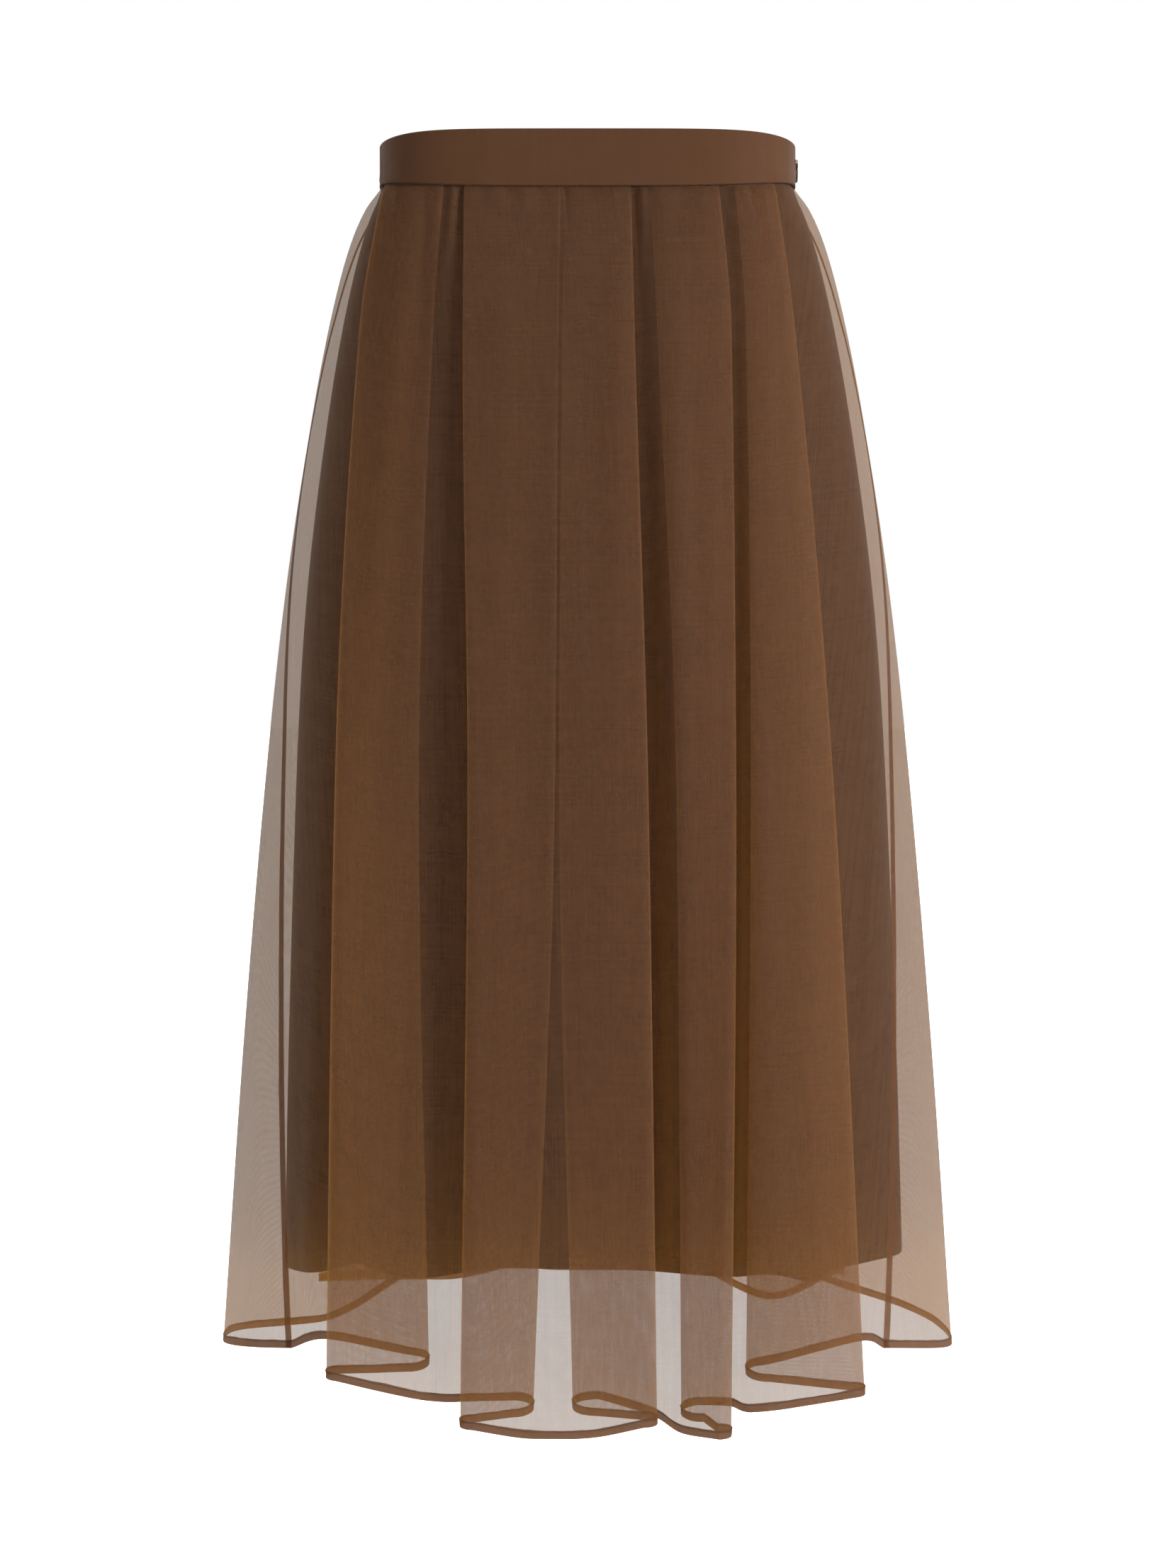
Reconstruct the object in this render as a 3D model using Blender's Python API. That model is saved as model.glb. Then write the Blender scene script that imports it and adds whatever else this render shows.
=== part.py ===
"""Pleated midi skirt: a sheer pleated overskirt over a plain opaque lining, on a straight waistband
that overlaps and buttons at the wearer's left side.

It is modelled as worn, as an empty hollow. Metres, +Z up. The front of the skirt faces -Y and the
wearer's left is +X. The origin is the centre of the waistband, half way up the band.
"""

import math
from collections import namedtuple

import bmesh
import bpy
import numpy as np
from mathutils import Matrix, Vector

MM = 0.001

# --- Driving sizes -------------------------------------------------------------------------------
SEAM_GAP = 0.3 * MM  # clear space between two pieces that are sewn together

BAND_HEIGHT = 36 * MM
BAND_WALL = 2.4 * MM
BAND_OUT = 1.2 * MM  # the band's middle layer stands out this far from the waist line
BAND_EDGE = 0.7 * MM  # rounding of the band's folded top and bottom edges
BAND_SEAM_TURN = 14.0  # degrees from the wearer's right side to the seam in the band
TAB_END_TURN = 11.0  # degrees that the buttoned end reaches past the wearer's left side
UNDERLAP_TURN = 14.0  # degrees that the back band runs on underneath it
UNDERLAP_STEP = 12.0  # degrees over which the back band steps in to pass underneath
UNDERLAP_CLEAR = 2.0  # degrees before the buttoned end at which it is fully stepped in

WAIST_SEAM_Z = -BAND_HEIGHT / 2
WAIST_SEAM_RISE = 6 * MM  # the waist seam sits higher at the two sides
WAIST_SEAM_POWER = 4  # and rises to there late, by this power of the distance from the centre
BAND_TOP_FALL = 4 * MM  # the band's top edge sits lower at the two sides
BAND_TOP_POWER = 8

CLOTH_WALL = 1.0 * MM
LAYER_CLEAR = 0.45 * MM  # air between two layers of the overskirt at the waist
LAYER_CLEAR_GAIN = 4.5 * MM  # and this much more at the hem
LINING_HEM_SIDE_Z = -704 * MM
LINING_HEM_LIFT = 14 * MM  # the lining hem is this much higher at centre front and centre back
SIDE_HEM_Z = -756 * MM  # the overskirt's hem at its two sides

BUTTON_RADIUS = 7.5 * MM
BUTTON_THICK = 2.5 * MM
BUTTON_RIM = 1.1 * MM
BUTTON_HOLLOW = 0.7 * MM
BUTTON_BEVEL = 0.7 * MM
BUTTON_ROUND = 0.5 * MM
BUTTON_HOLE_RADIUS = 0.8 * MM
BUTTON_HOLE_SPREAD = 1.7 * MM
BUTTON_Z = 2.5 * MM
BUTTON_Y = 3 * MM

# The form that the cloth stands on, from the waist seam (down 0) to the hem (down 1), in mm.
# half_width, front and back: half axes of the section. power: 2 is an ellipse, more is squarer.
# pleat: how far a pleat's top layer stands out from the form. edge and tuck: how far apart the
# two layers are at a pleat's outer fold and at its inner fold.
SECTIONS = [
    # down, half_width, front, back, power, pleat, edge, tuck
    dict(down=0.00, half_width=130.5, front=87.5, back=87.5, power=4.2, pleat=3.0, edge=1.45, tuck=1.45),
    dict(down=0.02, half_width=142.0, front=92.0, back=92.5, power=3.7, pleat=4.4, edge=1.9, tuck=1.9),
    dict(down=0.05, half_width=152.0, front=98.0, back=100.0, power=3.2, pleat=6.0, edge=2.0, tuck=2.2),
    dict(down=0.10, half_width=162.5, front=106.0, back=111.0, power=2.8, pleat=8.5, edge=2.2, tuck=2.8),
    dict(down=0.20, half_width=177.5, front=118.0, back=128.0, power=2.6, pleat=12.5, edge=2.6, tuck=3.8),
    dict(down=0.35, half_width=195.0, front=131.0, back=142.0, power=2.5, pleat=18.0, edge=3.4, tuck=5.8),
    dict(down=0.50, half_width=207.5, front=142.0, back=151.0, power=2.4, pleat=24.0, edge=4.6, tuck=8.5),
    dict(down=0.75, half_width=223.5, front=153.0, back=160.0, power=2.4, pleat=32.0, edge=6.6, tuck=13.0),
    dict(down=1.00, half_width=236.5, front=160.0, back=166.0, power=2.4, pleat=38.0, edge=9.0, tuck=17.0),
]

# How far the lining lies inside that form, in mm, by height.
LINING_INSIDE = [
    dict(z=-14, inside=2.2),
    dict(z=-24, inside=4.2),
    dict(z=-60, inside=7.0),
    dict(z=-110, inside=8.0),
    dict(z=-270, inside=12.5),
    dict(z=-490, inside=23.0),
    dict(z=-704, inside=33.0),
]

# Each pleat: its outer fold (edge) and the inner fold behind it (tuck), by their distance from
# the centre line in mm, at the waist, hip, thigh and hem. points: the side the edge points to,
# -1 for the wearer's right. over: the share of the pleat's height that its panel keeps over the tuck.
# The hem columns give how far below the origin the cloth ends, in mm: at the edge, at the tuck,
# where the next layer passes under the edge, and where the panel passes over the tuck.
PLEAT_HEIGHTS = (0.0, 0.12, 0.5, 1.0)
FRONT_PLEATS = [
    dict(name="left side", points=-1, over=0.52, edge=(-128, -142, -155, -159), tuck=(-90, -96, -104, -97),
         hem_edge=750, hem_tuck=746, hem_under=731, hem_over=762),
    dict(name="centre left", points=-1, over=0.96, edge=(-77, -77, -73, -77), tuck=(-17, -18, -20, -33),
         hem_edge=776, hem_tuck=772, hem_under=765, hem_over=781),
    dict(name="centre right", points=1, over=0.96, edge=(27, 29, 37, 42), tuck=(-14.6, -15.6, -17.2, -9),
         hem_edge=774, hem_tuck=771, hem_under=774, hem_over=781),
    dict(name="right", points=1, over=0.64, edge=(82, 89, 90.5, 87), tuck=(39, 43, 54, 57),
         hem_edge=782, hem_tuck=775, hem_under=768, hem_over=780),
    dict(name="right side", points=1, over=0.58, edge=(117.5, 129, 151, 169), tuck=(92, 98, 100, 97),
         hem_edge=761, hem_tuck=752, hem_under=733, hem_over=769),
]
BACK_PLEATS = [
    dict(name="left side", points=-1, over=0.60, edge=(-113, -128, -160, -186), tuck=(-76, -84, -98, -106),
         hem_edge=746, hem_tuck=742, hem_under=768, hem_over=747),
    dict(name="centre left", points=-1, over=0.94, edge=(-62, -64, -68, -72), tuck=(-9, -10, -12, -20),
         hem_edge=739, hem_tuck=735, hem_under=741, hem_over=744),
    dict(name="centre right", points=1, over=0.94, edge=(62, 64, 68, 72), tuck=(9, 10, 12, 20),
         hem_edge=738, hem_tuck=734, hem_under=736, hem_over=744),
    dict(name="right side", points=1, over=0.60, edge=(113, 128, 158, 178), tuck=(76, 84, 104, 128),
         hem_edge=742, hem_tuck=738, hem_under=746, hem_over=760),
]
UNDER_SHARE = 0.20  # a layer that passes under an edge rises to at most this share of the pleat

# The overskirt's side seams swing forward towards the hem: degrees in front of the side.
SIDE_SEAM_TURNS = (-6.0, 0.0, 25.0, 42.0)
SIDE_SEAM_HEM = 741
SIDE_STATION_TURN = 4.0  # the back half passes the very side on the form, this many degrees round it

# Soft folds in the lining. across: place, as a share of the half width. out: mm at the hem.
FRONT_LINING_FOLDS = [
    dict(across=-1.00, out=-4, wide=0.10),
    dict(across=-0.80, out=6, wide=0.07),
    dict(across=-0.67, out=-8, wide=0.06),
    dict(across=-0.44, out=7, wide=0.11),
    dict(across=-0.18, out=-5, wide=0.10),
    dict(across=0.25, out=10, wide=0.13),
    dict(across=0.45, out=-8, wide=0.07),
    dict(across=0.60, out=4, wide=0.07),
    dict(across=1.00, out=4, wide=0.10),
]
BACK_LINING_FOLDS = [
    dict(across=-1.00, out=-4, wide=0.10),
    dict(across=-0.55, out=14, wide=0.17),
    dict(across=-0.05, out=-4, wide=0.15),
    dict(across=0.52, out=13, wide=0.16),
    dict(across=1.00, out=4, wide=0.10),
]
# The lining's hem isn't level. across: place, as a share of the half width. drop: mm.
FRONT_HEM_WAVES = [
    dict(across=-0.66, drop=-4, wide=0.07),
    dict(across=-0.40, drop=4, wide=0.12),
    dict(across=0.42, drop=4, wide=0.20),
    dict(across=0.60, drop=5, wide=0.06),
    dict(across=1.00, drop=-9, wide=0.25),
]
BACK_HEM_WAVES = [
    dict(across=-0.30, drop=3, wide=0.20),
    dict(across=0.35, drop=-3, wide=0.20),
    dict(across=1.00, drop=-9, wide=0.25),
]

# --- How finely the solids are cut ---------------------------------------------------------------
OVERSKIRT_LEVELS = (0.0, 0.014, 0.037, 0.078, 0.15, 0.28, 0.44, 0.62, 0.81, 1.0)
LINING_LEVELS = (0.0, 0.015, 0.04, 0.084, 0.162, 0.30, 0.474, 0.70, 1.0)
STEP_TURNS = {0.0: 5.0, 1.0: 8.0}  # most degrees that one step covers, at the waist and at the hem
NOSE_LENGTHS = {"edge": 0.9, "tuck": 0.75}  # a fold's rounding, as a share of its layers' gap
NOSE_RISES = {"edge": 3, "tuck": 7}  # mm that the hem is higher on the inner side of a fold
NOSE_STEPS = 4
LINING_STEPS = 44
BAND_STEPS = 30
BUTTON_SIDES = 32
BUTTON_HOLES = 4
HOLE_SIDES = 8
TURN_HALVINGS = 40  # how often the search for a place on the form halves its range


# --- The form ------------------------------------------------------------------------------------
def smooth_between(x, xs, ys):
    """The value at x of a smooth curve through the points, which never overshoots them."""
    xs, ys = np.asarray(xs, float), np.asarray(ys, float)
    steps = np.diff(xs)
    slopes = np.diff(ys) / steps
    ends = np.zeros(len(xs))
    ends[0], ends[-1] = slopes[0], slopes[-1]
    for i in range(1, len(xs) - 1):
        before, after = slopes[i - 1], slopes[i]
        if before * after > 0:
            ends[i] = 2 * before * after / (before + after)
    x = min(max(x, xs[0]), xs[-1])
    i = min(int(np.searchsorted(xs, x, side="right")) - 1, len(xs) - 2)
    t = (x - xs[i]) / steps[i]
    return float(
        (1 + 2 * t) * (1 - t) ** 2 * ys[i]
        + t * (1 - t) ** 2 * steps[i] * ends[i]
        + t * t * (3 - 2 * t) * ys[i + 1]
        - t * t * (1 - t) * steps[i] * ends[i + 1]
    )


def section(down):
    """The form's sizes at one height, in metres, with power as it is."""
    downs = [row["down"] for row in SECTIONS]
    found = {}
    for name in ("half_width", "front", "back", "pleat", "edge", "tuck"):
        found[name] = smooth_between(down, downs, [row[name] for row in SECTIONS]) * MM
    found["power"] = smooth_between(down, downs, [row["power"] for row in SECTIONS])
    return found


def form_point(form, turn, stand_off, side):
    """A point on the form and out from it. turn: degrees from the wearer's right side, round the
    front (side -1) or the back (side +1), to the wearer's left side at 180."""
    angle = math.radians(turn)
    cosine, sine = math.cos(angle), math.sin(angle)
    depth = form["front"] if side * sine < 0 else form["back"]
    share = 2 / form["power"]
    x = -math.copysign(abs(cosine) ** share, cosine) * form["half_width"]
    y = math.copysign(abs(sine) ** share, sine) * depth * side
    lean = form["power"] - 1
    nx = math.copysign((abs(x) / form["half_width"]) ** lean / form["half_width"], x)
    ny = math.copysign((abs(y) / depth) ** lean / depth, y)
    length = math.hypot(nx, ny)
    return Vector((x + nx / length * stand_off, y + ny / length * stand_off))


def turn_at(form, x, stand_off, side):
    """The turn at which a point that stands off the form lies at x."""
    low, high = 0.0, 180.0
    for _ in range(TURN_HALVINGS):
        middle = (low + high) / 2
        if form_point(form, middle, stand_off, side).x < x:
            low = middle
        else:
            high = middle
    return (low + high) / 2


def turn_for_length(form, turn, stand_off, length, side):
    """How many degrees make up a short length along the form."""
    step = 0.05
    here = form_point(form, turn - step, stand_off, side)
    there = form_point(form, turn + step, stand_off, side)
    return length * 2 * step / (there - here).length


def waist_seam_z(x, half_width):
    """The height of the waist seam at a distance from the centre line."""
    return WAIST_SEAM_Z + WAIST_SEAM_RISE * min(abs(x) / half_width, 1) ** WAIST_SEAM_POWER


# --- Walls ---------------------------------------------------------------------------------------
def wall(name, rows, thickness):
    """A closed wall of even thickness through rows of points, from the top row to the bottom."""
    mesh = bmesh.new()
    inner, outer = [], []
    for row in rows:
        inner.append([])
        outer.append([])
        for i, point in enumerate(row):
            along = (row[min(i + 1, len(row) - 1)] - row[max(i - 1, 0)]).xy.normalized()
            out = Vector((along.y, -along.x, 0)) * thickness / 2
            inner[-1].append(mesh.verts.new(point - out))
            outer[-1].append(mesh.verts.new(point + out))
    # Both sides are split along the same, shorter diagonals, which keeps the wall's thickness even.
    for k, (high, low) in enumerate(zip(rows, rows[1:])):
        for i in range(len(high) - 1):
            falls = (high[i] - low[i + 1]).length <= (high[i + 1] - low[i]).length
            for grid in (inner, outer):
                upper, lower = grid[k][i : i + 2], grid[k + 1][i : i + 2]
                corner, across = (lower[1], upper[0]) if falls else (lower[0], upper[1])
                mesh.faces.new((upper[0], upper[1], corner))
                mesh.faces.new((across, lower[1], lower[0]))
    for k in (0, -1):
        for i in range(len(rows[0]) - 1):
            mesh.faces.new((inner[k][i], inner[k][i + 1], outer[k][i + 1], outer[k][i]))
            if i < len(rows) - 1:
                mesh.faces.new((inner[i][k], inner[i + 1][k], outer[i + 1][k], outer[i][k]))
    bmesh.ops.recalc_face_normals(mesh, faces=mesh.faces)
    return placed(name, mesh)


def placed(name, mesh):
    """A new object that holds the mesh."""
    data = bpy.data.meshes.new(name)
    mesh.to_mesh(data)
    mesh.free()
    piece = bpy.data.objects.new(name, data)
    bpy.context.collection.objects.link(piece)
    return piece


# --- Overskirt -----------------------------------------------------------------------------------
# A place that the cloth line passes: kind is pass, edge or tuck, points is the way a fold points
# along the line, and climbs is 1 where the line leaves the fold further out than it came.
Station = namedtuple("Station", "kind turn stand_off hem points climbs", defaults=(0, 0))


def stations(pleats, form, side, down):
    """The places that the cloth line passes at one height, from the wearer's right seam to the left."""
    seam = smooth_between(down, PLEAT_HEIGHTS, SIDE_SEAM_TURNS) * (-side)
    clear = CLOTH_WALL + LAYER_CLEAR + LAYER_CLEAR_GAIN * down
    height = form["pleat"]
    under = min(height - form["edge"] - clear, UNDER_SHARE * height)
    beside = max(seam, 0.0) + SIDE_STATION_TURN
    route = [Station("pass", seam, 0.0, SIDE_SEAM_HEM)]
    if side > 0:
        route.append(Station("pass", beside, 0.0, -SIDE_HEM_Z / MM))
    for pleat in pleats:
        at = {
            fold: smooth_between(down, PLEAT_HEIGHTS, pleat[fold]) * MM
            for fold in ("edge", "tuck")
        }
        over = max(form["tuck"] + clear, pleat["over"] * height)
        edge_off = height - form["edge"] / 2
        tuck_off = form["tuck"] / 2
        turns = {
            "edge": turn_at(form, at["edge"], edge_off, side),
            "tuck": turn_at(form, at["tuck"], tuck_off, side),
            "over": turn_at(form, at["tuck"], over, side),
            "under": turn_at(form, at["edge"], under, side),
        }
        # Along a pleat that points back the cloth climbs from the form to the top layer.
        points, climbs = pleat["points"], -pleat["points"]
        passed = [
            Station("pass", turns["under"], under, pleat["hem_under"]),
            Station("tuck", turns["tuck"], tuck_off, pleat["hem_tuck"], -points, climbs),
            Station("edge", turns["edge"], edge_off, pleat["hem_edge"], points, climbs),
            Station("pass", turns["over"], over, pleat["hem_over"]),
        ]
        route += passed if points < 0 else passed[::-1]
    if side > 0:
        route.append(Station("pass", 180 - beside, 0.0, -SIDE_HEM_Z / MM))
    route.append(Station("pass", 180 - seam, 0.0, SIDE_SEAM_HEM))
    return route


def nose(at, form, side):
    """The points round a fold: (turn, stand-off, hem)."""
    gap = form[at.kind]
    back = turn_for_length(form, at.turn, at.stand_off, gap * NOSE_LENGTHS[at.kind], side)
    around = []
    for i in range(NOSE_STEPS + 1):
        swing = math.pi * (i / NOSE_STEPS - 0.5)
        turn = at.turn - at.points * back * (1 - math.cos(swing))
        outwards = at.climbs * math.sin(swing)
        hem = at.hem - NOSE_RISES[at.kind] * (1 - outwards) / 2
        around.append((turn, at.stand_off + gap / 2 * outwards, hem))
    return around


def step_counts(pleats, side):
    """How many steps each stretch between two stations takes, by its width at waist and hem."""
    counts = []
    for down, step_turn in STEP_TURNS.items():
        route = stations(pleats, section(down), side, down)
        widths = [abs(second.turn - first.turn) for first, second in zip(route, route[1:])]
        counts.append([math.ceil(width / step_turn) for width in widths])
    return [max(at_waist, at_hem) for at_waist, at_hem in zip(*counts)]


def cloth_line(pleats, counts, form, side, down):
    """The points of the whole cloth line at one height: (turn, stand-off, hem)."""
    line, run, run_counts = [], [], []
    for at, count in zip(stations(pleats, form, side, down), [0] + counts):
        if run:
            run_counts.append(count)
        if at.kind == "pass":
            run.append((at.turn, at.stand_off, at.hem))
            continue
        around = nose(at, form, side)
        line += sampled(run + [around[0]], run_counts) + around[1:-1]
        run, run_counts = [around[-1]], []
    return line + sampled(run, run_counts)


def sampled(run, counts):
    """Points along a stretch between two folds, smooth through the stations that it passes."""
    marks = range(len(run))
    values = [[passed[k] for passed in run] for k in range(3)]
    places = [i + step / count for i, count in enumerate(counts) for step in range(count)]
    return [
        tuple(smooth_between(place, marks, values[k]) for k in range(3))
        for place in places + [len(run) - 1]
    ]


def overskirt(name, pleats, side):
    """One half of the overskirt, front (side -1) or back (side +1)."""
    rows = []
    counts = step_counts(pleats, side)
    for down in OVERSKIRT_LEVELS:
        form = section(down)
        row = []
        for turn, stand_off, hem in cloth_line(pleats, counts, form, side, down):
            flat = form_point(form, turn, stand_off, side)
            top = waist_seam_z(flat.x, form["half_width"]) - SEAM_GAP / 2
            row.append(Vector((flat.x, flat.y, top + down * (-hem * MM - top))))
        rows.append(trimmed(row))
    return wall(name, rows, CLOTH_WALL)


def trimmed(row):
    """The row with half a seam gap taken off each end."""
    for end, beside in ((0, 1), (-1, -2)):
        along = (row[beside] - row[end]).normalized()
        row[end] = row[end] + along * SEAM_GAP / 2
    return row


# --- Lining --------------------------------------------------------------------------------------
def lining(name, folds, hem_waves, side):
    """One half of the lining, which hangs inside the overskirt in a few soft folds."""
    inside_z = [-row["z"] for row in LINING_INSIDE]
    inside_mm = [row["inside"] for row in LINING_INSIDE]
    rows = []
    for share in LINING_LEVELS:
        row = []
        for i in range(LINING_STEPS + 1):
            turn = 180 * i / LINING_STEPS
            across = -math.cos(math.radians(turn))
            top = waist_seam_z(across, 1) - SEAM_GAP / 2
            bottom = LINING_HEM_SIDE_Z + LINING_HEM_LIFT * (1 - across * across)
            for wave in hem_waves:
                bottom -= wave["drop"] * MM * math.exp(-(((across - wave["across"]) / wave["wide"]) ** 2))
            z = top + share * (bottom - top)
            form = section((top - z) / (top - SIDE_HEM_Z))
            stand_off = -smooth_between(-z / MM, inside_z, inside_mm) * MM
            for fold in folds:
                away = (across - fold["across"]) / fold["wide"]
                stand_off += fold["out"] * MM * share * math.exp(-away * away)
            flat = form_point(form, turn, stand_off, side)
            row.append(Vector((flat.x, flat.y, z)))
        rows.append(trimmed(row))
    return wall(name, rows, CLOTH_WALL)


# --- Waistband -----------------------------------------------------------------------------------
def band_profile():
    """The band's section, as (out, up) from its middle: a strip with rounded long edges."""
    half, tall = BAND_WALL / 2, BAND_HEIGHT / 2
    return [
        (half, -tall + BAND_EDGE),
        (half, tall - BAND_EDGE),
        (half - BAND_EDGE, tall),
        (-half + BAND_EDGE, tall),
        (-half, tall - BAND_EDGE),
        (-half, -tall + BAND_EDGE),
        (-half + BAND_EDGE, -tall),
        (half - BAND_EDGE, -tall),
    ]


def band(name, turns, outs, side):
    """A stretch of the waistband along the waist, between turns, standing out by outs."""
    form = section(0)
    mesh = bmesh.new()
    line = [form_point(form, turn, out, side) for turn, out in zip(turns, outs)]
    rings = []
    for i, point in enumerate(line):
        along = (line[min(i + 1, len(line) - 1)] - line[max(i - 1, 0)]).normalized()
        outward = Vector((along.y, -along.x)) * (1 if side < 0 else -1)
        rise = waist_seam_z(point.x, form["half_width"]) - WAIST_SEAM_Z
        fall = BAND_TOP_FALL * min(abs(point.x) / form["half_width"], 1) ** BAND_TOP_POWER
        ring = []
        for out, up in band_profile():
            lift = rise + SEAM_GAP / 2 if up < 0 else -fall
            place = point + outward * out
            ring.append(mesh.verts.new((place.x, place.y, up + lift)))
        rings.append(ring)
    for first, second in zip(rings, rings[1:]):
        for i in range(len(first)):
            j = (i + 1) % len(first)
            mesh.faces.new((first[i], first[j], second[j], second[i]))
    mesh.faces.new(rings[0])
    mesh.faces.new(rings[-1])
    bmesh.ops.recalc_face_normals(mesh, faces=mesh.faces)
    return placed(name, mesh)


def band_front():
    """The front of the band, whose end laps over the back band at the wearer's left side."""
    gap = turn_for_length(section(0), BAND_SEAM_TURN, 0, SEAM_GAP / 2, -1)
    turns = np.linspace(BAND_SEAM_TURN + gap, 180 + TAB_END_TURN, BAND_STEPS)
    return band("waistband_front", turns, [BAND_OUT] * BAND_STEPS, -1)


def band_back():
    """The back of the band. Its end steps in and runs on underneath the buttoned front end."""
    gap = turn_for_length(section(0), BAND_SEAM_TURN, 0, SEAM_GAP / 2, 1)
    turns = np.linspace(-BAND_SEAM_TURN + gap, 180 + UNDERLAP_TURN, BAND_STEPS)
    tab_end = 180 - TAB_END_TURN
    step = [turns[0], tab_end - UNDERLAP_STEP, tab_end - UNDERLAP_CLEAR, turns[-1]]
    inward = BAND_WALL + SEAM_GAP
    outs = [BAND_OUT - inward * smooth_between(turn, step, [0, 0, 1, 1]) for turn in turns]
    return band("waistband_back", turns, outs, 1)


# --- Button --------------------------------------------------------------------------------------
def button():
    """A flat four-hole button with a raised rim, on the buttoned end of the band, facing +X."""
    radius, thick, rim = BUTTON_RADIUS, BUTTON_THICK, BUTTON_RIM
    profile = [
        (radius - BUTTON_BEVEL, 0),
        (radius, BUTTON_BEVEL),
        (radius, thick - BUTTON_BEVEL),
        (radius - BUTTON_ROUND, thick),
        (radius - rim, thick),
        (radius - rim - BUTTON_HOLLOW, thick - BUTTON_HOLLOW),
    ]
    mesh = bmesh.new()
    rings = []
    for out, up in profile:
        ring = []
        for i in range(BUTTON_SIDES):
            angle = 2 * math.pi * i / BUTTON_SIDES
            ring.append(mesh.verts.new((out * math.cos(angle), out * math.sin(angle), up)))
        rings.append(ring)
    for lower, upper in zip(rings, rings[1:]):
        for i in range(BUTTON_SIDES):
            j = (i + 1) % BUTTON_SIDES
            mesh.faces.new((lower[i], lower[j], upper[j], upper[i]))
    mesh.faces.new(rings[0][::-1])
    mesh.faces.new(rings[-1])
    bmesh.ops.recalc_face_normals(mesh, faces=mesh.faces)
    form = section(0)
    seat = form_point(form, 180, BAND_OUT + BAND_WALL / 2 + SEAM_GAP, -1).x
    place = Matrix.Translation((seat, BUTTON_Y, BUTTON_Z)) @ Matrix.Rotation(math.pi / 2, 4, "Y")
    mesh.transform(place)
    piece = placed("button", mesh)
    for i in range(BUTTON_HOLES):
        angle = 2 * math.pi * (i + 0.5) / BUTTON_HOLES
        spot = place @ Vector(
            (BUTTON_HOLE_SPREAD * math.cos(angle), BUTTON_HOLE_SPREAD * math.sin(angle), thick / 2)
        )
        bpy.ops.mesh.primitive_cylinder_add(
            vertices=HOLE_SIDES, radius=BUTTON_HOLE_RADIUS, depth=3 * thick,
            location=spot, rotation=(0, math.pi / 2, 0),
        )
        cutter = bpy.context.object
        cutter.name = f"button_hole_cutter_{i}"
        cutter.hide_render = True
        cutter.display_type = "WIRE"
        cut = piece.modifiers.new(f"hole {i}", "BOOLEAN")
        cut.object = cutter
        cut.operation = "DIFFERENCE"
        cut.solver = "EXACT"
    return piece


# --- Finishes ------------------------------------------------------------------------------------
def finish(piece, name, colour, roughness):
    material = bpy.data.materials.get(name) or bpy.data.materials.new(name)
    material.use_nodes = True
    shader = material.node_tree.nodes["Principled BSDF"]
    shader.inputs["Base Color"].default_value = (*colour, 1)
    shader.inputs["Roughness"].default_value = roughness
    shader.inputs["Metallic"].default_value = 0
    piece.data.materials.append(material)
    piece.data.shade_smooth()
    piece.data.set_sharp_from_angle(angle=math.radians(40))


def main():
    for old in list(bpy.data.objects):
        bpy.data.objects.remove(old)
    sheer = ("sheer cloth", (0.16, 0.085, 0.05), 0.6)
    plain = ("lining cloth", (0.075, 0.034, 0.018), 0.6)
    folded = ("waistband cloth", (0.105, 0.05, 0.028), 0.65)
    finish(overskirt("overskirt_front", FRONT_PLEATS, -1), *sheer)
    finish(overskirt("overskirt_back", BACK_PLEATS, 1), *sheer)
    finish(lining("lining_front", FRONT_LINING_FOLDS, FRONT_HEM_WAVES, -1), *plain)
    finish(lining("lining_back", BACK_LINING_FOLDS, BACK_HEM_WAVES, 1), *plain)
    finish(band_front(), *folded)
    finish(band_back(), *folded)
    finish(button(), "horn button", (0.03, 0.017, 0.011), 0.3)


main()
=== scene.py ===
# %% [markdown]
# # A pleated midi skirt with a sheer overskirt
#
# The skirt is shown as worn and filled out, with nobody in it. It has a straight waistband that
# buttons at the side, an opaque lining, and over it a longer overskirt of sheer cloth laid in big
# soft pleats. The solids of the frame give every piece its place and size. Here each piece of
# cloth is made again as the thin thing it is, with its folds, hems, seams and stitches.

import math
from collections import namedtuple

import bmesh
import bpy
import numpy as np
from mathutils import Matrix, Vector


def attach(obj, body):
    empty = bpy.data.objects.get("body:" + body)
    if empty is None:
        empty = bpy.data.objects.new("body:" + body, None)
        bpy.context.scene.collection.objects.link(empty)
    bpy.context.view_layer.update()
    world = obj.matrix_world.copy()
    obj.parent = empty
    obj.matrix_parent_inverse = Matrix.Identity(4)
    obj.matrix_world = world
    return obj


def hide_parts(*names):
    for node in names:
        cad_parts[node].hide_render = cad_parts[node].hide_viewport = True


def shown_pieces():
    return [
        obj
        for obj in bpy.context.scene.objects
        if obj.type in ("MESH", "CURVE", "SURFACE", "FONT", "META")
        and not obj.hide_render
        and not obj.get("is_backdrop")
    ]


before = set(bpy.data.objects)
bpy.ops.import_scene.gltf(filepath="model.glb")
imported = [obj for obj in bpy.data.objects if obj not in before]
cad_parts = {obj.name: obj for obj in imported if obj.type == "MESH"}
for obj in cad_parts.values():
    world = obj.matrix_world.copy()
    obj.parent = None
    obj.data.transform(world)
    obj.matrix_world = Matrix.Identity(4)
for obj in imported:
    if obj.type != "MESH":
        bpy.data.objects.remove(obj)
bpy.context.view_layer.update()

# %% [markdown]
# ## Floor, light and camera
#
# Sheer cloth is mostly seen by what is behind it, so the light comes first. The photograph is a
# cut-out on white, lit softly and a little more from the right. A pale floor, a white surround that
# is brightest behind the skirt, two big soft lamps and a soft light from above give that. A small
# hard lamp would draw shadows between the layers that aren't there.
# The camera stands 2.5 m away, a little lower than the waist, and looks slightly down.

# %% Helpers for nodes and tables
MM = 0.001


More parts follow.
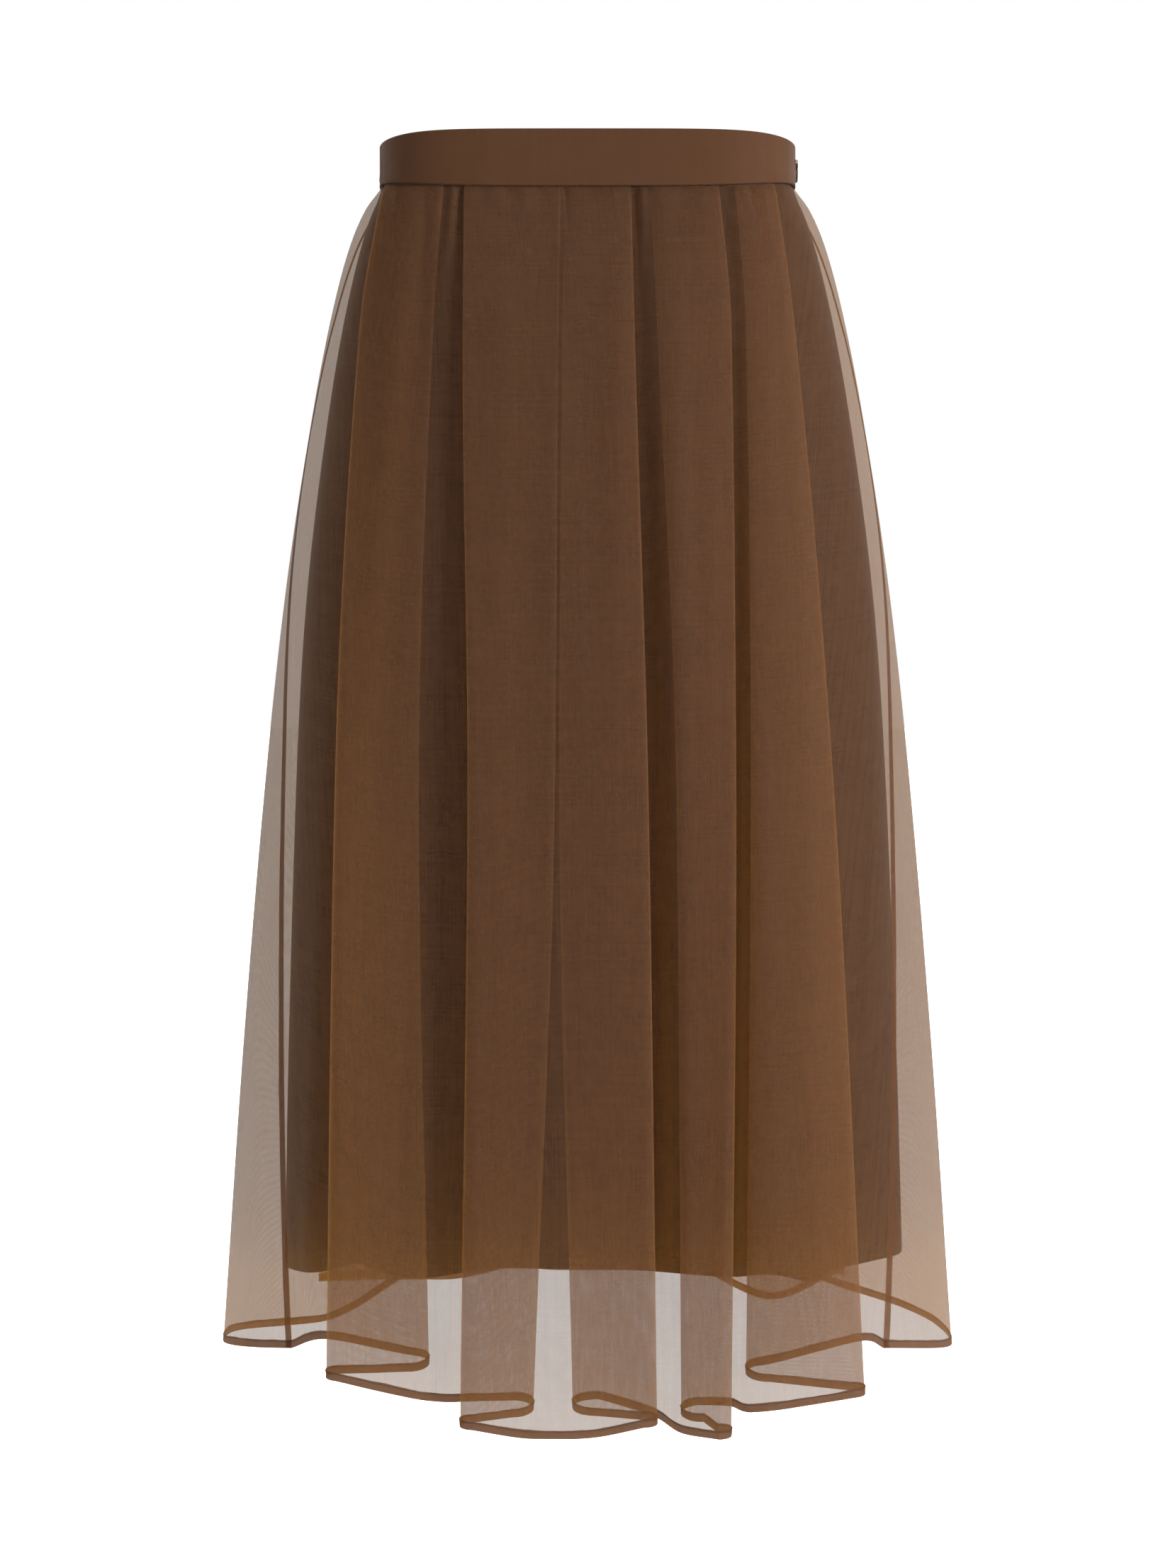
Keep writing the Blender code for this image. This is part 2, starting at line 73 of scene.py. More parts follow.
def table(columns, *rows):
    """A list of rows, each with its values under the names of the columns."""
    return [dict(zip(columns.split(), row)) for row in rows]


def feed(tree, socket, value):
    """Gives an input another node's output, or a value of its own."""
    if isinstance(value, bpy.types.NodeSocket):
        tree.links.new(value, socket)
    else:
        socket.default_value = value


def give(tree, node, **inputs):
    """Feeds a node's inputs by their names, with _ for each space."""
    for name, value in inputs.items():
        feed(tree, node.inputs[name.replace("_", " ")], value)


def add(tree, kind, **inputs):
    """Adds a shader node and feeds its inputs."""
    node = tree.nodes.new("ShaderNode" + kind)
    give(tree, node, **inputs)
    return node


def calc(tree, operation, *values):
    """The output of a math node."""
    node = tree.nodes.new("ShaderNodeMath")
    node.operation = operation
    for socket, value in zip(node.inputs, values):
        feed(tree, socket, value)
    return node.outputs[0]


def fitted(tree, value, low, high, **reach):
    """A value between 0 and 1, or of another reach, spread from low to high."""
    return add(tree, "MapRange", Value=value, To_Min=low, To_Max=high, **reach).outputs["Result"]


def new_material(name):
    """A material, its node tree, and its shader and output nodes."""
    material = bpy.data.materials.new(name)
    material.use_nodes = True
    tree = material.node_tree
    return material, tree, tree.nodes["Principled BSDF"], tree.nodes["Material Output"]


# %% Stage
FLOOR_Z = -1.05  # the waistband is worn about this far above the floor
FLOOR_SIZE = 60.0
FLOOR_GREY = (0.78, 0.78, 0.78, 1)

# The photograph's backdrop was light grey and was cut out to white, except where the sheer cloth
# covers it. So a backdrop is white where it is looked at directly, and greyer through the cloth.
THROUGH_CLOTH = 0.76
BEHIND_LIGHT = 1.4  # how bright the surround is as a light, behind the skirt
FRONT_LIGHT = 0.05  # and in front of it, where the lamps are


def seen_directly(tree):
    """1 for what the camera sees with nothing in between, otherwise 0. Then 1 for all it sees."""
    path = add(tree, "LightPath").outputs
    uncovered = calc(tree, "LESS_THAN", path["Transparent Depth"], 0.5)
    return calc(tree, "MULTIPLY", path["Is Camera Ray"], uncovered), path["Is Camera Ray"]


bpy.ops.object.select_all(action="DESELECT")
bpy.ops.mesh.primitive_plane_add(size=FLOOR_SIZE, location=(0, 0, FLOOR_Z))
floor = bpy.context.object
floor.name = "floor"
floor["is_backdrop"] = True
floor_paint, tree, shader, _ = new_material("pale floor")
give(tree, shader, Base_Color=FLOOR_GREY, Roughness=0.9, Specular_IOR_Level=0)
give(tree, shader, Emission_Color=(1, 1, 1, 1), Emission_Strength=seen_directly(tree)[0])
floor.data.materials.append(floor_paint)

# %% Surround
world = bpy.data.worlds.new("white surround")
bpy.context.scene.world = world
world.use_nodes = True
tree = world.node_tree
tree.nodes.clear()
direct, camera_ray = seen_directly(tree)
axes = add(tree, "SeparateXYZ", Vector=add(tree, "TexCoord").outputs["Generated"]).outputs
as_light = fitted(tree, axes["Y"], FRONT_LIGHT, BEHIND_LIGHT, From_Min=-0.1, From_Max=0.6)
looked_at = fitted(tree, direct, THROUGH_CLOTH, 1.0)
strength = add(tree, "Mix", Factor=camera_ray, A=as_light, B=looked_at).outputs["Result"]
white = add(tree, "Background", Color=(1, 1, 1, 1), Strength=strength).outputs["Background"]
add(tree, "OutputWorld", Surface=white)
bpy.context.scene.view_settings.view_transform = "Standard"
print("the surround shines from", FRONT_LIGHT, "in front to", BEHIND_LIGHT, "behind")

# %% Lamps
# place and size in metres, power in watts
LAMPS = table(
    "name place size power",
    ("left", (-3.2, -0.9, 0.5), 1.6, 16),
    ("right", (2.85, -2.2, 0.7), 1.2, 140),
)
AIM = Vector((0, 0, -0.35))
for lamp in LAMPS:
    towards = AIM - Vector(lamp["place"])
    bpy.ops.object.light_add(
        type="AREA", location=lamp["place"], rotation=towards.to_track_quat("-Z", "Y").to_euler()
    )
    bpy.context.object.name = f"lamp {lamp['name']}"
    bpy.context.object.data.size = lamp["size"]
    bpy.context.object.data.energy = lamp["power"]

# Straight down, so that the floor is as white as the surround and the shadow stays under the skirt.
SKY_POWER = 1.2
SKY_ANGLE = 30  # degrees across, for a soft edge
bpy.ops.object.light_add(type="SUN", location=(0, 0, 3))
bpy.context.object.name = "lamp above"
bpy.context.object.data.energy = SKY_POWER
bpy.context.object.data.angle = math.radians(SKY_ANGLE)

# %% Camera
CAMERA_PLACE = (0, -2.5, -0.30)
CAMERA_DOWN = 2.147  # degrees below level
FOCAL_PIXELS = 5435  # the distance at which one metre is one pixel, over one metre
PHOTO_HEIGHT = 2212  # pixels
SENSOR = 36.0

bpy.ops.object.camera_add(location=CAMERA_PLACE, rotation=(math.radians(90 - CAMERA_DOWN), 0, 0))
camera = bpy.context.object
camera.data.sensor_width = SENSOR
camera.data.lens = FOCAL_PIXELS / PHOTO_HEIGHT * SENSOR
bpy.context.scene.camera = camera
print(f"lens {camera.data.lens:.1f} mm")

# %% [markdown]
# ## The form under the cloth
#
# All the cloth stands on one smooth form: a row of rounded sections from the waist seam to the
# hem, wider and deeper as they go down. Sculpting would also give such a form, but a table of
# sections keeps it exact, so that lining, pleats, hems and stitches all agree. A place on the form
# is a turn in degrees round the body and a share of the way down, and cloth stands off from it.

# %% Sections of the form
BAND_HEIGHT = 36 * MM
WAIST_SEAM_Z = -BAND_HEIGHT / 2
WAIST_SEAM_RISE = 6 * MM  # the waist seam sits higher at the two sides
WAIST_SEAM_POWER = 4
SIDE_HEM_Z = -756 * MM

# half_width, front and back are half axes in mm. power: 2 is an ellipse, more is squarer. pleat:
# how far a pleat's top layer stands out. edge and tuck: how far apart the layers are at its folds.
SECTIONS = table(
    "down half_width front back power pleat edge tuck",
    (0.00, 130.5, 87.5, 87.5, 4.2, 3.0, 1.45, 1.45),
    (0.02, 142.0, 92.0, 92.5, 3.7, 4.4, 1.9, 1.9),
    (0.05, 152.0, 98.0, 100.0, 3.2, 6.0, 2.0, 2.2),
    (0.10, 162.5, 106.0, 111.0, 2.8, 8.5, 2.2, 2.8),
    (0.20, 177.5, 118.0, 128.0, 2.6, 12.5, 2.6, 3.8),
    (0.35, 195.0, 131.0, 142.0, 2.5, 18.0, 3.4, 5.8),
    (0.50, 207.5, 142.0, 151.0, 2.4, 24.0, 4.6, 8.5),
    (0.75, 223.5, 153.0, 160.0, 2.4, 32.0, 6.6, 13.0),
    (1.00, 236.5, 160.0, 166.0, 2.4, 38.0, 9.0, 17.0),
)

# %% Places on the form
TURN_MARKS = np.linspace(0, 180, 2881)


def smooth_between(x, marks, values):
    """Values at x of a smooth curve through the points, which never overshoots them."""
    x, marks, values = (np.asarray(array, float) for array in (x, marks, values))
    steps = np.diff(marks)
    slopes = np.diff(values) / steps
    before, after = slopes[:-1], slopes[1:]
    same_way = before * after > 0
    middle = np.where(same_way, 2 * before * after / np.where(same_way, before + after, 1), 0)
    ends = np.concatenate([slopes[:1], middle, slopes[-1:]])
    x = np.clip(x, marks[0], marks[-1])
    i = np.clip(np.searchsorted(marks, x, side="right") - 1, 0, len(steps) - 1)
    t = (x - marks[i]) / steps[i]
    return (
        (1 + 2 * t) * (1 - t) ** 2 * values[i]
        + t * (1 - t) ** 2 * steps[i] * ends[i]
        + t * t * (3 - 2 * t) * values[i + 1]
        - t * t * (1 - t) * steps[i] * ends[i + 1]
    )


def section(down):
    """The form's sizes at a share of the way down, in metres, with power as it is."""
    downs = [row["down"] for row in SECTIONS]
    units = dict(half_width=MM, front=MM, back=MM, power=1, pleat=MM, edge=MM, tuck=MM)
    return {
        name: smooth_between(down, downs, [row[name] for row in SECTIONS]) * unit
        for name, unit in units.items()
    }


def form_points(form, turns, stand_off, side):
    """x and y of places on the form and out from it. turns: degrees from the wearer's right side,
    round the front (side -1) or the back (side +1), to the wearer's left side at 180."""
    angle = np.radians(turns)
    cosine, sine = np.cos(angle), np.sin(angle)
    depth = np.where(side * sine < 0, form["front"], form["back"])
    share = 2 / form["power"]
    x = -np.sign(cosine) * np.abs(cosine) ** share * form["half_width"]
    y = np.sign(sine) * np.abs(sine) ** share * depth * side
    lean = form["power"] - 1
    nx = np.sign(x) * (np.abs(x) / form["half_width"]) ** lean / form["half_width"]
    ny = np.sign(y) * (np.abs(y) / depth) ** lean / depth
    length = np.hypot(nx, ny)
    return np.stack([x + nx / length * stand_off, y + ny / length * stand_off], axis=-1)


def turn_at(form, x, stand_off, side):
    """The turn at which a point that stands off the form lies at x."""
    return float(np.interp(x, form_points(form, TURN_MARKS, stand_off, side)[:, 0], TURN_MARKS))


def turns_per_metre(form, turn, stand_off, side):
    """How many degrees make up a metre along the form, near one turn."""
    step = 0.05
    ends = form_points(form, np.array([turn - step, turn + step]), stand_off, side)
    return 2 * step / np.linalg.norm(ends[1] - ends[0])


def waist_seam_z(x, half_width):
    """The height of the waist seam at a distance from the centre line."""
    rise = np.minimum(np.abs(x) / half_width, 1) ** WAIST_SEAM_POWER
    return WAIST_SEAM_Z + WAIST_SEAM_RISE * rise


half_waist = np.diff(form_points(section(0.0), TURN_MARKS, 0, -1), axis=0)
print("waist round the form, mm:", round(2000 * float(np.linalg.norm(half_waist, axis=1).sum())))

# %% [markdown]
# ## A sheet of cloth
#
# Cloth is a grid of points, some rows down and some columns across. Its UV map is laid out in
# metres of real cloth, measured along the rows and columns, so that a weave drawn on it keeps its
# yarns at one size, however the cloth folds.

# %% Grid of cloth points
def lengths_along(points, axis):
    """Distance from the first point of each line, measured along the grid."""
    steps = np.linalg.norm(np.diff(points, axis=axis), axis=-1)
    start = np.zeros_like(np.take(steps, [0], axis=axis))
    return np.concatenate([start, np.cumsum(steps, axis=axis)], axis=axis)


def new_object(name, points, faces):
    """A smooth piece of a grid of points and its faces."""
    mesh = bpy.data.meshes.new(name)
    mesh.from_pydata(points.reshape(-1, 3).tolist(), [], faces)
    mesh.shade_smooth()
    piece = bpy.data.objects.new(name, mesh)
    bpy.context.collection.objects.link(piece)
    return piece


def turn_outwards(piece):
    """Turns the faces of a closed piece outwards."""
    shape = bmesh.new()
    shape.from_mesh(piece.data)
    bmesh.ops.recalc_face_normals(shape, faces=shape.faces)
    shape.to_mesh(piece.data)
    shape.free()


def cloth_sheet(name, points, outward=1):
    """A smooth sheet through a grid of points [row, column, xyz]. outward -1 turns its face over."""
    rows, columns = points.shape[:2]
    corner = (np.arange(rows - 1)[:, None] * columns + np.arange(columns - 1)).ravel()
    faces = np.stack([corner, corner + columns, corner + columns + 1, corner + 1], axis=1)[:, ::outward]
    piece = new_object(name, points, faces.tolist())
    across = lengths_along(points, 1)
    across = across - across[:, [columns // 2]]
    cloth = np.stack([across, -lengths_along(points, 0)], axis=-1).reshape(-1, 2)
    piece.data.uv_layers.new(name="cloth").data.foreach_set("uv", cloth[faces].ravel())
    return piece


def area_of(piece):
    return sum(face.area for face in piece.data.polygons)

# %% [markdown]
# ## The overskirt's pleats
#
# A pleat is cloth folded back under itself: a top layer ends in an outer fold, a return runs back
# beneath it to an inner fold, and from there the next layer comes forward again. Folding a flat
# sheet by simulation would give other folds than the photograph's. Here the line of the cloth is
# drawn at each height instead, through a short list of stations: outer fold, inner fold, and the
# places where one layer passes over or under another.

# %% Pleats
# edge and tuck: the outer and the inner fold, by their distance from the centre line in mm, at
# PLEAT_HEIGHTS. points: the side that the edge points to, -1 for the wearer's right. over: the
# share of the pleat's height that its panel keeps over the tuck. The hem columns give how far
# below the origin the cloth ends, in mm, at those folds and passes.
PLEAT_HEIGHTS = (0.0, 0.12, 0.5, 1.0)
PLEAT_COLUMNS = "name points over edge tuck hem_edge hem_tuck hem_under hem_over"
FRONT_PLEATS = table(
    PLEAT_COLUMNS,
    ("left side", -1, 0.52, (-128, -142, -155, -159), (-90, -96, -104, -97), 750, 746, 731, 762),
    ("centre left", -1, 0.96, (-77, -77, -73, -77), (-17, -18, -20, -33), 776, 772, 765, 781),
    ("centre right", 1, 0.96, (27, 29, 37, 42), (-14.6, -15.6, -17.2, -9), 774, 771, 774, 781),
    ("right", 1, 0.64, (82, 89, 90.5, 87), (39, 43, 54, 57), 782, 775, 768, 780),
    ("right side", 1, 0.58, (117.5, 129, 151, 169), (92, 98, 100, 97), 761, 752, 733, 769),
)
BACK_PLEATS = table(
    PLEAT_COLUMNS,
    ("left side", -1, 0.60, (-113, -128, -160, -186), (-76, -84, -98, -106), 746, 742, 768, 747),
    ("centre left", -1, 0.94, (-62, -64, -68, -72), (-9, -10, -12, -20), 739, 735, 741, 744),
    ("centre right", 1, 0.94, (62, 64, 68, 72), (9, 10, 12, 20), 738, 734, 736, 744),
    ("right side", 1, 0.60, (113, 128, 158, 178), (76, 84, 104, 128), 742, 738, 746, 760),
)
UNDER_SHARE = 0.20  # a layer that passes under an edge rises to at most this share of the pleat
LAYER_CLEAR = 1.45 * MM  # between the middles of two layers at the waist
LAYER_CLEAR_GAIN = 4.5 * MM  # and this much more at the hem

# %% Stations of the cloth line
# The side seams swing forward towards the hem: degrees in front of the side.
SIDE_SEAM_TURNS = (-6.0, 0.0, 25.0, 42.0)
SIDE_SEAM_HEM = 741
SIDE_STATION_TURN = 4.0

NOSE_LENGTHS = {"edge": 0.9, "tuck": 0.75}  # a fold's rounding, as a share of its layers' gap
NOSE_RISES = {"edge": 3, "tuck": 7}  # mm that the hem is higher on the inner side of a fold
NOSE_STEPS = 10
CLOTH_STEP = 3.6 * MM  # the widest step across the cloth

Station = namedtuple("Station", "kind turn stand_off hem points climbs", defaults=(0, 0))


def stations(pleats, form, side, down):
    """The places that the cloth line passes at one height, from the wearer's right seam to the left."""
    seam = float(smooth_between(down, PLEAT_HEIGHTS, SIDE_SEAM_TURNS)) * (-side)
    clear = LAYER_CLEAR + LAYER_CLEAR_GAIN * down
    height = form["pleat"]
    under = min(height - form["edge"] - clear, UNDER_SHARE * height)
    beside = max(seam, 0.0) + SIDE_STATION_TURN
    route = [Station("pass", seam, 0.0, SIDE_SEAM_HEM)]
    if side > 0:
        route.append(Station("pass", beside, 0.0, -SIDE_HEM_Z / MM))
    for pleat in pleats:
        edge = float(smooth_between(down, PLEAT_HEIGHTS, pleat["edge"])) * MM
        tuck = float(smooth_between(down, PLEAT_HEIGHTS, pleat["tuck"])) * MM
        over = max(form["tuck"] + clear, pleat["over"] * height)
        edge_off = height - form["edge"] / 2
        tuck_off = form["tuck"] / 2
        # Along a pleat that points back the cloth climbs from the form to the top layer.
        points, climbs = pleat["points"], -pleat["points"]
        passed = [
            Station(kind, turn_at(form, x, off, side), off, pleat[hem], *folded)
            for kind, x, off, hem, folded in (
                ("pass", edge, under, "hem_under", ()),
                ("tuck", tuck, tuck_off, "hem_tuck", (-points, climbs)),
                ("edge", edge, edge_off, "hem_edge", (points, climbs)),
                ("pass", tuck, over, "hem_over", ()),
            )
        ]
        route += passed if points < 0 else passed[::-1]
    if side > 0:
        route.append(Station("pass", 180 - beside, 0.0, -SIDE_HEM_Z / MM))
    route.append(Station("pass", 180 - seam, 0.0, SIDE_SEAM_HEM))
    return route


def nose(at, form, side):
    """The points round a fold, a row each: turn, stand-off, hem."""
    gap = form[at.kind]
    back = gap * NOSE_LENGTHS[at.kind] * turns_per_metre(form, at.turn, at.stand_off, side)
    swing = np.pi * (np.arange(NOSE_STEPS + 1) / NOSE_STEPS - 0.5)
    turns = at.turn - at.points * back * (1 - np.cos(swing))
    outwards = at.climbs * np.sin(swing)
    hems = at.hem - NOSE_RISES[at.kind] * (1 - outwards) / 2
    return np.stack([turns, at.stand_off + gap / 2 * outwards, hems], axis=1)


# %% The whole cloth line
def sampled(run, counts):
    """Points along a stretch between two folds, smooth through the stations that it passes."""
    run = np.array(run, float)
    places = [i + np.arange(count) / count for i, count in enumerate(counts)]
    places = np.concatenate(places + [[len(counts)]])
    return np.stack([smooth_between(places, np.arange(len(run)), run[:, k]) for k in range(3)], axis=1)


def step_counts(pleats, side):
    """How many steps each stretch between two stations takes, by its width where it is widest."""
    counts = []
    for down in (0.0, 1.0):
        form = section(down)
        route = stations(pleats, form, side, down)
        spots = [form_points(form, at.turn, at.stand_off, side) for at in route]
        widths = [np.linalg.norm(second - first) for first, second in zip(spots, spots[1:])]
        counts.append([math.ceil(width / CLOTH_STEP) for width in widths])
    return [max(at_waist, at_hem) for at_waist, at_hem in zip(*counts)]


def cloth_line(pleats, counts, form, side, down):
    """The points of the whole cloth line at one height, a row each: turn, stand-off, hem."""
    pieces, run, run_counts = [], [], []
    for at, count in zip(stations(pleats, form, side, down), [0] + counts):
        if run:
            run_counts.append(count)
        if at.kind == "pass":
            run.append((at.turn, at.stand_off, at.hem))
            continue
        around = nose(at, form, side)
        pieces += [sampled(run + [around[0]], run_counts), around[1:-1]]
        run, run_counts = [around[-1]], []
    return np.concatenate(pieces + [sampled(run, run_counts)])


for name, pleats, side in (("front", FRONT_PLEATS, -1), ("back", BACK_PLEATS, 1)):
    hem_line = cloth_line(pleats, step_counts(pleats, side), section(1.0), side, 1.0)
    print(name, "columns of cloth:", len(hem_line))

# %% [markdown]
# ## Soft creases
#
# Real cloth is never as even as a drawn line. Under the waistband it puckers where the stitches
# draw it in, and down each panel run long shallow troughs and ridges. Each one here is listed with
# its own place, length, width and depth. A crease moves every layer at its place by the
# same amount, so layers that lie close together can't cut through each other.

# %% Creases
# x_top and x_end: distance from the centre line in mm where the crease starts and ends. top and
# end: how far below the waist seam, in mm. wide: half its width in mm. out: mm, minus is a trough.
CREASE_COLUMNS = "x_top x_end top end wide out"
FRONT_CREASES = table(
    CREASE_COLUMNS,
    # puckers under the band
    (-88.8, -95, 0, 70, 2.0, -1.8),
    (-83.6, -89.5, 0, 66, 2.0, 2.3),
    (-79.6, -80, 0, 90, 1.5, -1.8),
    (-101, -107, 0, 150, 3.4, -1.1),
    (-118, -126, 0, 40, 2.6, -1.6),
    (-66, -67, 0, 18, 1.7, -1.5),
    (-58, -58, 0, 22, 2.0, 1.2),
    (-47, -47, 0, 26, 1.8, -2.0),
    (-39, -39, 0, 20, 2.0, 1.3),
    (-29.5, -31, 0, 30, 1.8, -2.0),
    (-18, -19, 0, 140, 1.7, 1.1),
    (-14.0, -12, 0, 44, 1.8, -2.2),
    (-3, -3, 0, 20, 2.0, 1.2),
    (6, 8, 0, 30, 1.9, -1.9),
    (17, 18, 0, 20, 2.0, 1.2),
    (30.0, 31, 0, 80, 1.5, -1.8),
    (34.2, 34, 0, 60, 1.9, 2.3),
    (39.0, 41, 0, 50, 2.1, -2.0),
    (48, 50, 0, 90, 2.8, 1.0),
    (61, 63, 0, 24, 1.9, -1.6),
    (72, 75, 0, 28, 2.0, 1.3),
    (88, 92, 0, 28, 2.0, -1.5),
    (97, 103, 0, 30, 2.2, 0.9),
    (102, 109, 0, 34, 2.2, -1.3),
    (109.5, 118, 0, 60, 2.2, 1.4),
    (121, 130, 0, 46, 2.4, 1.2),
    # long soft ones down the panels
    (-90, -132, 20, 1100, 9, -1.2),
    (52, 68, 15, 1400, 12, 6),
    (98, 130, 15, 1400, 11, 3),
    (-100, -142, 10, 560, 9, -1.6),
    (-112, -166, 30, 640, 12, 1.4),
    (-55, -52, 40, 470, 10, 0.9),
    (-38, -44, 180, 700, 11, -1.2),
    (-19, -22, 60, 700, 7, 1.2),
    (2, 6, 90, 640, 10, -1.0),
    (16, 24, 30, 420, 8, 0.8),
    (54, 66, 60, 690, 9, -1.0),
    (74, 80, 120, 720, 7, 1.1),
    (96, 120, 30, 520, 9, -1.2),
    (104, 146, 40, 700, 9, 1.6),
    (134, 188, 60, 600, 10, -1.0),
)
BACK_CREASES = table(
    CREASE_COLUMNS,
    (-99, -103, 0, 34, 2.6, -0.9),
    (-70, -72, 0, 48, 2.8, 1.0),
    (-52, -53, 0, 22, 2.2, -0.6),
    (-34, -36, 0, 30, 2.4, -0.7),
    (3, 3, 0, 26, 2.2, -0.6),
    (38, 40, 0, 20, 2.2, -0.6),
    (56, 59, 0, 44, 2.6, 0.9),
    (86, 90, 0, 36, 2.6, -0.9),
    (118, 124, 0, 28, 2.4, -0.6),
    (-104, -150, 20, 600, 10, -1.5),
    (-88, -128, 60, 660, 9, 1.3),
    (-40, -46, 50, 520, 10, -1.1),
    (-20, -24, 110, 700, 8, 1.1),
    (12, 16, 40, 610, 10, -1.0),
    (34, 44, 90, 680, 9, 1.2),
    (82, 112, 30, 560, 9, -1.3),
    (102, 150, 70, 690, 10, 1.4),
)
CREASE_FADE_TOP = 0.12  # a crease reaches its full depth by this share of its length


def creased(creases, x, below):
    """How far the creases move the cloth out, in metres. x, below: metres from the centre line and
    below the waist seam."""
    out = np.zeros_like(x)
    for crease in creases:
        along = (below / MM - crease["top"]) / (crease["end"] - crease["top"])
        middle = crease["x_top"] + (crease["x_end"] - crease["x_top"]) * along
        away = (x / MM - middle) / crease["wide"]
        inside = np.clip(along, 0, 1)
        start = 1 if crease["top"] == 0 else np.clip(inside / CREASE_FADE_TOP, 0, 1)
        fade = np.where((along > 0) & (along < 1), start * (1 - inside) ** 1.5, 0)
        out += crease["out"] * MM * np.exp(-away * away) * fade
    return out


# %% Overskirt
BAND_OUT = 1.2 * MM  # the middle of the waistband stands out this far from the waist line
RISES = (7.0, 4.0, 1.5)  # mm above the seam, where the cloth is hidden inside the band
SQUEEZED = 0.35  # what is left of the pleats' thickness inside the band
SQUEEZE_END = 7 * MM  # below the seam, where the pleats have their full thickness again
CREASE_AT_SEAM = 0.3  # the share of a crease's depth that is left at the band
SEAM_DIP = 0.7 * MM  # the stitches draw the cloth in by this much under the band's edge
SEAM_DIP_TALL = 2.0 * MM
FIRST_ROW, WIDEST_ROW, ROW_GROWTH = 1.0, 8.0, 1.16  # mm between rows, closer under the band
FREE_LENGTH = 745.0  # mm from the waist seam to the hem at the side


def row_shares():
    """The rows below the waist seam, as shares of the way down."""
    downs, step = [0.0], FIRST_ROW
    while downs[-1] + step < FREE_LENGTH:
        downs.append(downs[-1] + step)
        step = min(step * ROW_GROWTH, WIDEST_ROW)
    return np.array(downs) / downs[-1]


def overskirt_points(pleats, creases, side):
    """The grid of points of one half of the overskirt, front (side -1) or back (side +1)."""
    counts = step_counts(pleats, side)
    grid = []
    for down in row_shares():
        form = section(down)
        turns, stand_offs, hems = cloth_line(pleats, counts, form, side, down).T
        flat = form_points(form, turns, stand_offs, side)
        top = waist_seam_z(flat[:, 0], form["half_width"])
        below = down * (hems * MM + top)
        squeeze = SQUEEZED + (1 - SQUEEZED) * smooth_between(below, [0, SQUEEZE_END], [0, 1])
        middle = BAND_OUT + (form["pleat"] / 2 - BAND_OUT) * squeeze
        stand_offs = middle + (stand_offs - form["pleat"] / 2) * squeeze
        free = CREASE_AT_SEAM + (1 - CREASE_AT_SEAM) * squeeze
        stand_offs += creased(creases, flat[:, 0], below) * free
        stand_offs -= SEAM_DIP * np.exp(-((below / SEAM_DIP_TALL) ** 2))
        flat = form_points(form, turns, stand_offs, side)
        grid.append(np.column_stack([flat, top - below]))
    seam = grid[0]
    hidden = [seam + np.array([0, 0, rise * MM]) for rise in RISES]
    return np.array(hidden + grid)


front_points = overskirt_points(FRONT_PLEATS, FRONT_CREASES, -1)
back_points = overskirt_points(BACK_PLEATS, BACK_CREASES, 1)
overskirt_front = cloth_sheet("overskirt_cloth_front", front_points)
overskirt_back = cloth_sheet("overskirt_cloth_back", back_points, outward=-1)
for piece in (overskirt_front, overskirt_back):
    print(piece.name, f"{area_of(piece):.3f} square metres, {2 * len(piece.data.polygons)} triangles")

# %% [markdown]
# ## The lining
#
# The lining is opaque, shorter and cut without pleats, so it hangs in a few soft folds and draws
# the dark shape that shows through the sheer cloth. It is a sheet too, and gets a thickness, since
# light doesn't pass through it and its hem is seen from below.

# %% Lining
LINING_HEM_SIDE_Z = -704 * MM
LINING_HEM_LIFT = 14 * MM  # the lining's hem is this much higher at centre front and centre back
LINING_THICK = 0.3 * MM
LINING_COLUMNS = 220
# The lining's hem isn't level. across: place, as a share of the half width. drop: mm.
FRONT_HEM_WAVES = table(
    "across drop wide",
    (-0.66, -4, 0.07),
    (-0.40, 4, 0.12),
    (0.42, 4, 0.20),
    (0.60, 5, 0.06),
    (1.00, -9, 0.25),
)
BACK_HEM_WAVES = table(
    "across drop wide",
    (-0.30, 3, 0.20),
    (0.35, -3, 0.20),
    (1.00, -9, 0.25),
)
# How far the lining lies inside the form, in mm, by height.
LINING_INSIDE = table(
    "z inside",
    (4, -1.2),
    (-14, 0.6),
    (-24, 4.2),
    (-60, 7.0),
    (-110, 8.0),
    (-270, 12.5),
    (-490, 23.0),
    (-704, 33.0),
)
# across: place, as a share of the half width. out: mm at the hem.
FRONT_LINING_FOLDS = table(
    "across out wide",
    (-1.00, -4, 0.10),
    (-0.80, 6, 0.07),
    (-0.67, -8, 0.06),
    (-0.44, 7, 0.11),
    (-0.18, -5, 0.10),
    (0.25, 10, 0.13),
    (0.45, -8, 0.07),
    (0.60, 4, 0.07),
    (1.00, 4, 0.10),
)
BACK_LINING_FOLDS = table(
    "across out wide",
    (-1.00, -4, 0.10),
    (-0.55, 14, 0.17),
    (-0.05, -4, 0.15),
    (0.52, 13, 0.16),
    (1.00, 4, 0.10),
)


